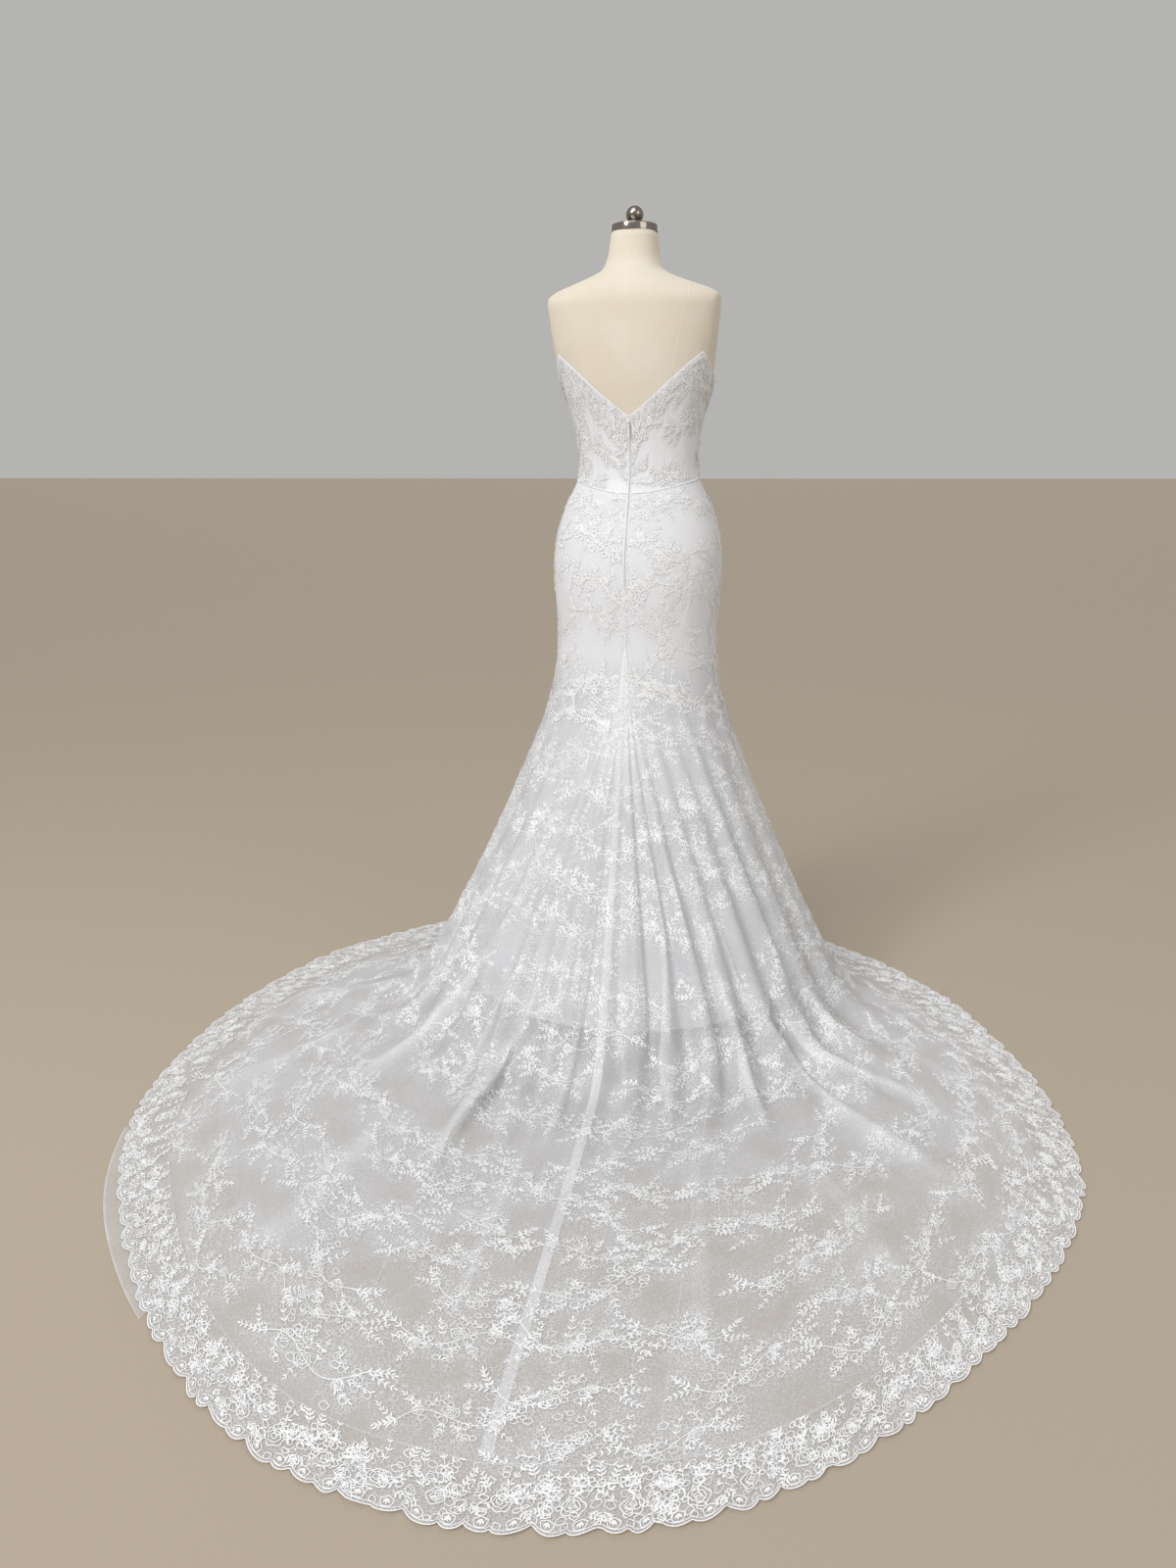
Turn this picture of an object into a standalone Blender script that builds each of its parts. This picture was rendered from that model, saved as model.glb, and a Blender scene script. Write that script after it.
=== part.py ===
"""A strapless fit-and-flare lace wedding dress with a long train, standing on a limbless dress form.

Frame: metres, +Z up, the floor at z = 0 and the form's pole on the Z axis. The wearer faces -Y, the train
runs out along +Y and the wearer's left is +X. A turn is an angle round the Z axis in degrees, 0 at the
centre back and positive towards the wearer's left, so 180 is the centre front.
"""

import math

import bmesh
import bpy
import numpy as np
from mathutils import Matrix

# ---------------------------------------------------------------- driving sizes, in metres and degrees
WALL = 0.0016              # thickness of the lace cloth with its lining
SEAM_GAP = 0.0003          # clear space between two sewn pieces
WORN_GAP = 0.0016          # clear space between the form and the cloth on it
SQUARENESS = 2.25          # exponent of the body's rounded sections: 2 is an ellipse

WAIST_SIDE, WAIST_BACK, WAIST_FRONT = 1.086, 1.058, 1.068   # height of the curved waist seam
NECK_BACK, NECK_PEAK, NECK_UNDERARM = 1.202, 1.317, 1.272   # height of the top edge, from the back V round
NECK_CUP, NECK_FRONT = 1.338, 1.232
CUP_ASIDE, CUP_SPREAD, CUP_RISE = 33.0, 24.0, 0.024         # each cup's turn from the front, and its size
CUP_HEIGHT, CUP_TALL = 1.262, 0.052
PEAK_TURN, UNDERARM_TURN, CUP_TURN = 68.0, 92.0, 150.0      # where those heights lie round the body
NECK_SAG = 1.2             # exponent of the V's straight edges: above 1 they sag a little
NECK_SECTION = (0.1465, 0.099, 0.116)      # half breadth, back and front depth half-way up the V

FLARE_TOP = 0.750          # height of the ring where the skirt starts to flare
FLARE_DROP = 0.080         # how far the flare falls steeply before it takes its slope
FLARE_EASE = 0.012         # plan distance over which it does
FLOOR_EASE = 0.030         # plan distance over which the cloth turns onto the floor
FLARE_CROWDING = 1.6       # exponent that crowds the rows where the flare is steep
FLOOR_SINK = 0.0006        # takes the last of the round corner off, so that the cloth lies flat
FOLD_GROWN = 0.85          # share of the way down at which the folds reach their full height
GODET_TURN = 25.0          # the godet's seams, where they reach the floor
GODET_TOP_TURN = 2.2       # the godet's seams on the flare ring
GODET_RISE = 0.10          # share of the upper skirt over which the godet narrows to its point
SIDE_TURN = 92.0           # the side seams
HEM_LACE = 0.085           # width of the scalloped lace border
SCALLOP_PITCH, SCALLOP_DEPTH = 0.072, 0.013
SCALLOP_STEPS = 4          # faces along one scallop
HEM_FRONT_ROWS = 4         # rows of points across the border in front
TRAIN_SWING = -4.0         # the train's middle lies this far to the wearer's right

BODICE_ROWS = 8            # faces up a bodice panel
PANEL_COLUMNS, FRONT_COLUMNS = 9, 13       # lines of points across a bodice panel, and across the front
UPPER_SHARES = (0.0, 0.09, 0.19, 0.31, 0.46, 0.66, 1.0 - GODET_RISE, 1.0)   # rows, waist to flare ring
HANGING_ROWS = 8           # rows from the flare ring to the floor
FLOOR_ROWS, FRONT_FLOOR_ROWS = 6, 3        # rows along the floor, and on the short front
FRONT_LANDING = 0.85       # where the border starts above the floor, the last rows start this far down

ZIP_TOP, ZIP_END = 1.196, 0.880
ZIP_WIDTH, ZIP_THICK = 0.0030, 0.0008
SLIDER_HEIGHT, SLIDER_SIZE = 1.190, (0.0046, 0.0016, 0.0080)
PIVOT_RISE = 0.0026        # the tab's pivot above the slider's seat
BRIDGE_WIDTH, BRIDGE_BORE, BRIDGE_WALL = 0.0016, 0.00085, 0.0008
TAB_WIDTH, TAB_LENGTH, TAB_THICK, TAB_EYE, TAB_WAIST = 0.0044, 0.0275, 0.0008, 0.0036, 0.60

TORSO_BOTTOM = 0.775
SHOULDER_START = 1.386     # where the shoulder rings take over from the body's sections
TORSO_COLUMNS, TORSO_ROWS = 36, 22
ARM_PLANE, ARM_HEIGHT, ARM_TILT = 0.158, 1.362, 6.5   # the flat plates where the arms would start
ARM_CUTTER = (0.08, 0.30, 0.24)
FORM_BUST = 0.55           # the form's own bust, as a share of the cups over it
FORM_INSET = 0.0010        # how far the form is drawn in under the cloth
POLE_RADIUS = 0.016
BASE_RADIUS, BASE_EDGE, BASE_HUB_RADIUS, BASE_HUB_TOP = 0.150, 0.010, 0.030, 0.060
NECK_TOP, CAP_RADIUS, CAP_HEIGHT, BALL_RADIUS = 1.537, 0.0450, 0.0140, 0.0170
FINIAL_STEM_RADIUS, FINIAL_STEM = 0.0085, 0.0030

# ---------------------------------------------------------------- tables, one row for each section or fold
BODY_COLUMNS = ("height", "half_breadth", "back_depth", "front_depth")
BODY = np.array((
    (0.700, 0.158, 0.121, 0.100),   # thighs
    (0.800, 0.161, 0.129, 0.104),
    (0.890, 0.1675, 0.134, 0.106),  # hips
    (0.950, 0.166, 0.127, 0.107),
    (1.030, 0.145, 0.104, 0.102),
    (1.086, 0.1195, 0.087, 0.092),  # waist
    (1.150, 0.1180, 0.087, 0.096),
    (1.200, 0.1270, 0.092, 0.104),
    (1.265, 0.1465, 0.099, 0.116),  # bust
    (1.330, 0.1640, 0.100, 0.104),
    (1.380, 0.1740, 0.096, 0.088),
))

SHOULDER_COLUMNS = ("height", "half_breadth", "back_depth", "front_depth", "side_drop")
SHOULDERS = (
    (1.4150, 0.1760, 0.0930, 0.0800, 0.003),
    (1.4400, 0.1570, 0.0830, 0.0700, 0.010),
    (1.4540, 0.1190, 0.0740, 0.0620, 0.010),
    (1.4650, 0.0830, 0.0660, 0.0560, 0.008),
    (1.4730, 0.0620, 0.0575, 0.0500, 0.004),
    (1.4850, 0.0535, 0.0510, 0.0470, 0.000),
    (1.5000, 0.0490, 0.0480, 0.0450, 0.000),
    (NECK_TOP, 0.0435, 0.0435, 0.0420, 0.000),
)

LEAN_COLUMNS = ("height", "leftward", "backward")    # how far the body's middle lies off the pole
LEAN = np.array((
    (1.086, 0.000, 0.000),
    (1.200, 0.002, 0.003),
    (1.300, 0.005, 0.012),
    (1.400, 0.008, 0.022),
    (NECK_TOP, 0.009, 0.022),
))

GORE_COLUMNS = ("turn", "floor_radius", "hem_turn")   # where each gore line meets the floor, and ends
GORES = np.array((
    (0.0, 0.500, 0.0),
    (25.0, 0.495, 8.5),
    (40.0, 0.490, 24.0),
    (60.0, 0.460, 52.0),
    (SIDE_TURN, 0.430, 97.0),
    (120.0, 0.420, 122.0),
    (150.0, 0.415, 150.5),
    (180.0, 0.410, 180.0),
))

HEM_COLUMNS = ("turn", "radius")                      # plan outline of the hem
HEM = np.array((
    (0.0, 1.452), (10.0, 1.420), (20.0, 1.330), (30.0, 1.226), (40.0, 1.138), (50.0, 1.048),
    (60.0, 0.945), (70.0, 0.850), (80.0, 0.766), (90.0, 0.700), (100.0, 0.630), (110.0, 0.582),
    (120.0, 0.535), (135.0, 0.492), (150.0, 0.468), (180.0, 0.452),
))

FOLD_COLUMNS = ("turn", "height", "reach")            # ridge, its height at the floor, how far it runs out
FOLDS = np.array((
    (-180.0, 0.018, 0.10), (-156.0, 0.022, 0.10), (-134.0, 0.019, 0.10), (-113.0, 0.024, 0.12),
    (-95.0, 0.020, 0.16), (-80.0, 0.024, 0.30), (-66.0, 0.018, 0.42), (-54.0, 0.026, 0.50),
    (-43.5, 0.016, 0.36), (-34.0, 0.020, 0.46), (-25.0, 0.026, 0.40), (-16.5, 0.013, 0.28),
    (-8.5, 0.019, 0.34), (0.0, 0.010, 0.60), (8.0, 0.017, 0.26), (16.0, 0.014, 0.38),
    (25.0, 0.025, 0.52), (35.0, 0.016, 0.32), (46.0, 0.022, 0.44), (57.5, 0.017, 0.40),
    (70.0, 0.024, 0.34), (83.0, 0.019, 0.22), (98.0, 0.024, 0.14), (117.0, 0.020, 0.10),
    (137.0, 0.024, 0.10), (158.0, 0.019, 0.10), (180.0, 0.018, 0.10),
))

BODICE_COLUMNS = ("name", "first_waist_turn", "last_waist_turn", "first_top_turn", "last_top_turn")
BODICE = (
    ("bodice_back_left", 0.0, 40.0, 0.0, 44.0),
    ("bodice_side_left", 40.0, SIDE_TURN, 44.0, SIDE_TURN),
    ("bodice_cup_left", SIDE_TURN, 143.0, SIDE_TURN, 146.0),
    ("bodice_front", 143.0, 217.0, 146.0, 214.0),
    ("bodice_cup_right", 217.0, 360.0 - SIDE_TURN, 214.0, 360.0 - SIDE_TURN),
    ("bodice_side_right", 360.0 - SIDE_TURN, 320.0, 360.0 - SIDE_TURN, 316.0),
    ("bodice_back_right", 320.0, 360.0, 316.0, 360.0),
)

# the sheer under layer that shows past the lace on the wearer's left
UNDERLAY_FIRST_TURN, UNDERLAY_LAST_TURN = 19.0, 42.0
UNDERLAY_END, UNDERLAY_SWELL, UNDERLAY_THICK = 0.001, 0.018, 0.001

MATERIAL_COLUMNS = ("colour", "roughness", "metallic")
MATERIALS = {
    "lace": ((0.86, 0.86, 0.87), 0.75, 0.0),
    "border_lace": ((0.90, 0.90, 0.90), 0.70, 0.0),
    "tulle": ((0.74, 0.72, 0.70), 0.80, 0.0),
    "linen": ((0.78, 0.70, 0.56), 0.85, 0.0),
    "steel": ((0.55, 0.53, 0.50), 0.20, 1.0),
    "enamel": ((0.05, 0.05, 0.05), 0.45, 0.0),
    "zip_cloth": ((0.84, 0.84, 0.84), 0.60, 0.0),
    "zip_metal": ((0.80, 0.80, 0.80), 0.35, 0.0),
}


# ---------------------------------------------------------------- small helpers
def clear_scene():
    for old in list(bpy.data.objects):
        bpy.data.objects.remove(old, do_unlink=True)


def collection(name):
    made = bpy.data.collections.new(name)
    bpy.context.scene.collection.children.link(made)
    return made


def material(name):
    found = bpy.data.materials.get(name)
    if found:
        return found
    colour, roughness, metallic = MATERIALS[name]
    made = bpy.data.materials.new(name)
    made.use_nodes = True
    shader = made.node_tree.nodes["Principled BSDF"]
    shader.inputs["Base Color"].default_value = (*colour, 1.0)
    shader.inputs["Roughness"].default_value = roughness
    shader.inputs["Metallic"].default_value = metallic
    return made


def solid_object(name, shape, home):
    """An object from a bmesh, which it frees."""
    mesh = bpy.data.meshes.new(name)
    shape.to_mesh(mesh)
    shape.free()
    made = bpy.data.objects.new(name, mesh)
    home.objects.link(made)
    return made


def box(name, size, home, at=(0.0, 0.0, 0.0)):
    shape = bmesh.new()
    bmesh.ops.create_cube(shape, size=1.0)
    bmesh.ops.scale(shape, vec=size, verts=shape.verts)
    bmesh.ops.translate(shape, vec=at, verts=shape.verts)
    return solid_object(name, shape, home)


def rod(name, radius, length, home, at=(0.0, 0.0, 0.0)):
    """A round rod along X."""
    shape = bmesh.new()
    bmesh.ops.create_cone(shape, cap_ends=True, segments=24, radius1=radius, radius2=radius, depth=length)
    bmesh.ops.rotate(shape, matrix=Matrix.Rotation(math.pi / 2, 3, "Y"), verts=shape.verts)
    bmesh.ops.translate(shape, vec=at, verts=shape.verts)
    return solid_object(name, shape, home)


def combine(target, tool, operation):
    """Joins a tool to an object or cuts it away, and hides the tool."""
    tool.hide_render = True
    tool.display_type = "WIRE"
    joined = target.modifiers.new(tool.name, "BOOLEAN")
    joined.operation = operation
    joined.object = tool


def add_object(name, mesh, finish, home, smooth_angle=40.0):
    mesh.shade_smooth()
    mesh.set_sharp_from_angle(angle=math.radians(smooth_angle))
    mesh.materials.append(material(finish))
    made = bpy.data.objects.new(name, mesh)
    home.objects.link(made)
    return made


def smooth_table(x, xs, ys):
    """A curve through a table's rows: each span is a cubic whose end slopes are the rows' mean slopes."""
    xs, ys = np.asarray(xs, float), np.asarray(ys, float)
    slopes = np.gradient(ys, xs)
    x = np.clip(x, xs[0], xs[-1])
    i = np.clip(np.searchsorted(xs, x) - 1, 0, len(xs) - 2)
    span = xs[i + 1] - xs[i]
    t = (x - xs[i]) / span
    a = ys[i] * (1 + 2 * t) * (1 - t) ** 2 + ys[i + 1] * t * t * (3 - 2 * t)
    return a + span * (slopes[i] * t * (1 - t) ** 2 + slopes[i + 1] * t * t * (t - 1))


def smooth_step(t):
    t = np.clip(t, 0.0, 1.0)
    return t * t * (3 - 2 * t)


def soft_ramp(x, ease):
    """0 for x well below 0 and x for x well above it, with a round corner between."""
    return ease * np.logaddexp(0.0, x / ease)


def folded_turn(turn):
    """The same turn between -180 and 180."""
    return (np.asarray(turn, float) + 180.0) % 360.0 - 180.0


def plan_direction(turn):
    a = np.radians(turn)
    return np.stack((np.sin(a), np.cos(a)), -1)


def mix(a, b, share):
    return a + (b - a) * share[..., None]


def unit(v):
    return v / np.maximum(np.linalg.norm(v, axis=-1, keepdims=True), 1e-12)


# ---------------------------------------------------------------- the body's surface
def section_radius(turn, half_breadth, back_depth, front_depth):
    """How far out a rounded section is: |x/a|^n + |y/b|^n = 1, b being the back or front depth."""
    a = np.radians(turn)
    depth = np.where(np.cos(a) > 0, back_depth, front_depth)
    n = SQUARENESS
    return (np.abs(np.sin(a) / half_breadth) ** n + np.abs(np.cos(a) / depth) ** n) ** (-1 / n)


def bust(turn, height):
    """The two cups, as round hills on the front of the body."""
    aside = (180.0 - np.abs(folded_turn(turn)) - CUP_ASIDE) / CUP_SPREAD
    above = (height - CUP_HEIGHT) / CUP_TALL
    return CUP_RISE * np.exp(-aside ** 2 - above ** 2)


def body_radius(turn, height, fullness=1.0):
    sizes = (smooth_table(height, BODY[:, 0], BODY[:, k]) for k in (1, 2, 3))
    return section_radius(turn, *sizes) + bust(turn, height) * fullness


def lean(height):
    """Where the body's middle lies in plan at a height."""
    return np.stack([smooth_table(height, LEAN[:, 0], LEAN[:, k]) for k in (1, 2)], -1)


def worn_surface(turn, height, out=WORN_GAP, fullness=1.0):
    """A point of the cloth where it lies on the body."""
    r = body_radius(turn, height, fullness) + out
    plan = plan_direction(turn) * r[..., None] + lean(height)
    return np.concatenate((plan, height[..., None]), -1)


def waist_height(turn):
    """The waist seam dips at the centre back and a little at the centre front."""
    a = np.radians(turn)
    low = np.where(np.cos(a) > 0, WAIST_BACK, WAIST_FRONT)
    return WAIST_SIDE + (low - WAIST_SIDE) * np.abs(np.cos(a)) ** 1.5


def neckline_height(turn):
    """The top edge: up from the back V to a peak, down to the underarm, over the cup, down in front.

    The V's edges are all but straight as seen from behind, and the peak is a sharp corner.
    """
    away = np.abs(folded_turn(turn))
    peak = math.sin(math.radians(PEAK_TURN)) * float(section_radius(PEAK_TURN, *NECK_SECTION))
    across = np.sin(np.radians(away)) * section_radius(away, *NECK_SECTION) / peak
    back = NECK_BACK + (NECK_PEAK - NECK_BACK) * across ** NECK_SAG
    side = 1 - np.clip((UNDERARM_TURN - away) / (UNDERARM_TURN - PEAK_TURN), 0.0, 1.0) ** 1.7
    under = NECK_PEAK + (NECK_UNDERARM - NECK_PEAK) * side
    rise = smooth_step((away - UNDERARM_TURN) / (CUP_TURN - UNDERARM_TURN))
    cup = NECK_UNDERARM + (NECK_CUP - NECK_UNDERARM) * rise
    fall = smooth_step((away - CUP_TURN) / (180.0 - CUP_TURN)) ** 0.8
    front = NECK_CUP + (NECK_FRONT - NECK_CUP) * fall
    where = (away <= PEAK_TURN, away <= UNDERARM_TURN, away <= CUP_TURN)
    return np.select(where, (back, under, cup), front)


# ---------------------------------------------------------------- the skirt's surface
def hem_radius(turn):
    """Plan outline of the hem, swung towards the wearer's right behind."""
    turn = folded_turn(turn)
    swing = TRAIN_SWING * (1 - smooth_step((np.abs(turn) - 50.0) / 40.0))
    return smooth_table(np.abs(folded_turn(turn - swing)), HEM[:, 0], HEM[:, 1])


def flare_ring_turn(gore):
    """Where a gore line leaves the flare ring: the godet's lines crowd at the centre back."""
    away = np.abs(gore)
    turns = np.interp(away, (0.0, GODET_TURN, SIDE_TURN), (0.0, GODET_TOP_TURN, SIDE_TURN))
    return np.sign(gore) * np.where(away <= SIDE_TURN, turns, away)


def waist_turn(gore):
    """Where a gore line starts at the waist: the godet's lines, which stop short of it, at the centre."""
    away = np.abs(gore)
    turns = np.interp(away, (0.0, GODET_TURN, SIDE_TURN), (0.0, 0.0, SIDE_TURN))
    return np.sign(gore) * np.where(away <= SIDE_TURN, turns, away)


def upper_skirt(gore, row):
    """The close-fitting skirt: row -1 is the waist seam and 0 the flare ring."""
    opening = np.clip(1 + row / GODET_RISE, 0.0, 1.0)
    turn = waist_turn(gore) + (flare_ring_turn(gore) - waist_turn(gore)) * opening
    height = FLARE_TOP + (waist_height(turn) - FLARE_TOP) * -row
    return worn_surface(turn, height)


def gore_frame(gore):
    """Each gore line's start, its two plan directions, and its plan lengths to the floor and beyond."""
    start = worn_surface(flare_ring_turn(gore), np.full(gore.shape, FLARE_TOP))[..., :2]
    away = np.abs(gore)
    swing = TRAIN_SWING * (1 - smooth_step(away / SIDE_TURN))
    landing = plan_direction(gore + swing) * smooth_table(away, GORES[:, 0], GORES[:, 1])[..., None]
    hem_turn = np.sign(gore) * smooth_table(away, GORES[:, 0], GORES[:, 2]) + swing
    end = plan_direction(hem_turn) * hem_radius(hem_turn)[..., None]
    hanging, lying = landing - start, end - landing
    lengths = (np.linalg.norm(side, axis=-1) for side in (hanging, lying))
    return start, unit(hanging), unit(lying), *lengths


def fold_height(gore, down, past):
    """Height of the folds: uneven ridges that grow down the skirt and die away along the floor."""
    phase = np.interp(gore, FOLDS[:, 0], np.arange(len(FOLDS)))
    height = smooth_table(gore, FOLDS[:, 0], FOLDS[:, 1])
    reach = smooth_table(gore, FOLDS[:, 0], FOLDS[:, 2])
    ridge = (0.5 + 0.5 * np.cos(2 * math.pi * phase)) ** 1.2
    return height * ridge * smooth_step(down / FOLD_GROWN) * (1 - smooth_step(past / reach)) ** 1.3


def lower_skirt(gore, row):
    """The flare and train: row 0 is the flare ring, 1 the landing on the floor and 2 the hem's outline."""
    start, first, second, reach, beyond = gore_frame(gore)
    down, out = np.clip(row, 0.0, 1.0), np.maximum(row - 1.0, 0.0)
    run = reach * down ** FLARE_CROWDING + beyond * out
    turned = soft_ramp(run - reach, FLOOR_EASE)
    plan = start + first * (run - turned)[..., None] + second * turned[..., None]
    slope = (FLARE_TOP - FLARE_DROP) / reach
    straight = slope * (soft_ramp(reach - run, FLOOR_EASE) - soft_ramp(-beyond, FLOOR_EASE))
    steep = FLARE_DROP * np.exp(-run / FLARE_EASE)
    height = np.maximum(straight + steep - FLOOR_SINK * smooth_step(down), 0.0)
    lying = 1 / (1 + np.exp((reach - run) / FLOOR_EASE))
    fall = slope * (1 - lying)
    upright = 1 / np.sqrt(1 + fall ** 2)
    fold = fold_height(gore, down, np.maximum(run - reach, 0.0))
    plan = plan + unit(mix(first, second, lying)) * (fold * fall * upright)[..., None]
    return np.concatenate((plan, (height + fold * upright)[..., None]), -1)


def skirt_surface(gore, row):
    gore, row = np.broadcast_arrays(folded_turn(gore), np.asarray(row, float))
    lower = lower_skirt(gore, np.maximum(row, 0.0))
    return np.where((row >= 0)[..., None], lower, upper_skirt(gore, np.minimum(row, 0.0)))


# ---------------------------------------------------------------- cloth walls
def surface_frame(surface, across, along):
    """Unit steps across and along a surface, and its outward normal, from small differences."""
    step = 1e-3
    u = unit(surface(across + step, along) - surface(across - step, along))
    v = unit(surface(across, along + step) - surface(across, along - step))
    return u, v, unit(np.cross(u, v))


def grid_triangles(middle):
    """Two triangles for each quad of a grid of points, cut along its shorter diagonal."""
    n = np.arange(middle[..., 0].size).reshape(middle.shape[:2])
    a, b, c, d = n[:-1, :-1].ravel(), n[:-1, 1:].ravel(), n[1:, 1:].ravel(), n[1:, :-1].ravel()
    points = middle.reshape(-1, 3)
    first, second = (np.linalg.norm(points[p] - points[q], axis=1) for p, q in ((a, c), (b, d)))
    shorter = (first < second)[:, None]
    upper = np.where(shorter, np.stack((a, b, c), -1), np.stack((a, b, d), -1))
    lower = np.where(shorter, np.stack((a, c, d), -1), np.stack((b, c, d), -1))
    return np.concatenate((upper, lower))


def wall_mesh(name, inner, outer):
    """A closed wall between two grids of points of the same size, both cut along the same diagonals."""
    rows, columns = inner.shape[:2]
    count = rows * columns
    n = np.arange(count).reshape(rows, columns)
    rim = np.concatenate((n[0, :-1], n[:-1, -1], n[-1, :0:-1], n[:0:-1, 0]))
    ahead = np.roll(rim, -1)
    rims = np.stack((ahead, rim, rim + count, ahead + count), -1)
    sides = grid_triangles((inner + outer) / 2)
    faces = [*sides[:, ::-1].tolist(), *(sides + count).tolist(), *rims.tolist()]
    mesh = bpy.data.meshes.new(name)
    points = np.concatenate((inner.reshape(-1, 3), outer.reshape(-1, 3)))
    mesh.from_pydata(points.tolist(), [], faces)
    turn_faces_outward(mesh)
    return mesh


def turn_faces_outward(mesh):
    shape = bmesh.new()
    shape.from_mesh(mesh)
    bmesh.ops.recalc_face_normals(shape, faces=shape.faces)
    shape.to_mesh(mesh)
    shape.free()


def cloth_panel(name, surface, across, along, finish, home,
                lift=0.0, thick=WALL, outward=1.0, normal_of=None):
    """A panel of cloth over a grid of a surface, drawn in at its four edges by half a seam gap.

    Across, the points between the side edges share the step, so that a narrow panel keeps their order.
    Rows that run upwards, as on the bodice, need outward = -1 for the wall to stand on the outside.
    """
    u, v = np.meshgrid(across, along)
    side, up, normal = surface_frame(surface, u, v)
    normal = normal * outward if normal_of is None else normal_of(u, v)
    inner = surface(u, v) + normal * lift
    half = SEAM_GAP / 2
    inner += side * np.linspace(half, -half, len(across))[None, :, None]
    inner[0] += up[0] * half
    inner[-1] -= up[-1] * half
    return add_object(name, wall_mesh(name, inner, inner + normal * thick), finish, home)


def bodice_surface(first_waist, last_waist, first_top, last_top):
    """A bodice panel's surface: across and along run from 0 to 1 between its seams, waist and top edge."""
    def surface(across, along):
        bottom = first_waist + (last_waist - first_waist) * across
        top = first_top + (last_top - first_top) * across
        turn = bottom + (top - bottom) * along
        low, high = waist_height(turn), neckline_height(turn)
        return worn_surface(turn, low + (high - low) * along)
    return surface


def make_bodice(home):
    """The seven panels of the bodice, the side ones with a column at the top edge's peak."""
    for name, *turns in BODICE:
        across = np.linspace(0, 1, FRONT_COLUMNS if name == "bodice_front" else PANEL_COLUMNS)
        if name.startswith("bodice_side"):
            first, last = turns[2:]
            peak_turn = PEAK_TURN if first < 180 else 360 - PEAK_TURN
            peak = (peak_turn - first) / (last - first)
            across[np.argmin(np.abs(across - peak))] = peak
        along = np.linspace(0, 1, BODICE_ROWS + 1)
        cloth_panel(name, bodice_surface(*turns), across, along, "lace", home, outward=-1.0)


def hem_row(gore, back_from_hem):
    """The row that lies this far along the floor inside the hem's outline."""
    *_, reach, beyond = gore_frame(folded_turn(gore))
    run = reach + beyond - back_from_hem
    hanging = (np.minimum(run, reach) / reach) ** (1 / FLARE_CROWDING)
    return np.where(run > reach, 1 + (run - reach) / beyond, hanging)


def gore_columns(first, last):
    """A panel's columns: on each fold's ridge and trough and half-way between, and at its seams."""
    turns = np.concatenate((FOLDS[:-1, 0], FOLDS[:, 0] + 360.0))
    quarters = np.interp(np.arange(0, len(turns) - 0.9, 0.25), np.arange(len(turns)), turns)
    clear = 0.8
    inside = quarters[(quarters > first + clear) & (quarters < last - clear)]
    return np.concatenate(((first,), inside, (last,)))


def skirt_panel(name, first, last, top_row, upper_shares, floor_rows, home):
    """A skirt panel from a top row to the lace border, its rows crowded where the surface bends."""
    def surface(gore, share):
        end = hem_row(gore, HEM_LACE)
        landing = np.minimum(1.0, FRONT_LANDING * end)
        lower = np.where(share <= 2, landing * (share - 1), landing + (end - landing) * (share - 2))
        return skirt_surface(gore, np.where(share < 1, top_row * (1 - share), lower))
    shares = np.concatenate((upper_shares[:-1], np.linspace(1, 2, HANGING_ROWS, endpoint=False),
                             2 + np.linspace(0, 1, floor_rows + 1) ** 1.25))
    cloth_panel(name, surface, gore_columns(first, last), shares, "lace", home)


def make_skirt(home):
    """The back and front panels from the waist down, and the godet from just short of its point."""
    godet_top, godet_shares = -GODET_RISE * 0.9, (0.0, 1.0)
    for name, first, last, top, shares, floor_rows in (
            ("skirt_back_left", GODET_TURN, SIDE_TURN, -1.0, UPPER_SHARES, FLOOR_ROWS),
            ("skirt_back_right", -SIDE_TURN, -GODET_TURN, -1.0, UPPER_SHARES, FLOOR_ROWS),
            ("skirt_front", SIDE_TURN, 360.0 - SIDE_TURN, -1.0, UPPER_SHARES, FRONT_FLOOR_ROWS),
            ("train_godet_left", 0.0, GODET_TURN, godet_top, godet_shares, FLOOR_ROWS),
            ("train_godet_right", -GODET_TURN, 0.0, godet_top, godet_shares, FLOOR_ROWS)):
        skirt_panel(name, first, last, top, shares, floor_rows, home)


def hem_spacing(first, last):
    """Gore angles along the hem, evenly spaced so that whole scallops fill it."""
    fine = np.linspace(first, last, 2001)
    edge = skirt_surface(folded_turn(fine), 2.0)[:, :2]
    along = np.concatenate(([0.0], np.cumsum(np.linalg.norm(np.diff(edge, axis=0), axis=1))))
    count = round(along[-1] / SCALLOP_PITCH)
    return np.interp(np.linspace(0, along[-1], count * SCALLOP_STEPS + 1), along, fine)


def scallop(steps):
    """How far a scalloped edge stands out at each step: a half-round lobe over each pitch."""
    share = (np.arange(steps) % SCALLOP_STEPS) / SCALLOP_STEPS
    return SCALLOP_DEPTH * (np.sin(math.pi * share) ** 0.7 - 0.3)


def hem_surface(gore, beyond_hem):
    """A point this far past the hem's outline, or inside it where negative, along the gore line."""
    return skirt_surface(gore, hem_row(gore, -beyond_hem))


def between_columns(gore, columns, values):
    """Vectors known on a panel's columns, straight between them."""
    return np.stack([np.interp(gore, columns, values[:, k]) for k in range(3)], -1)


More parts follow.
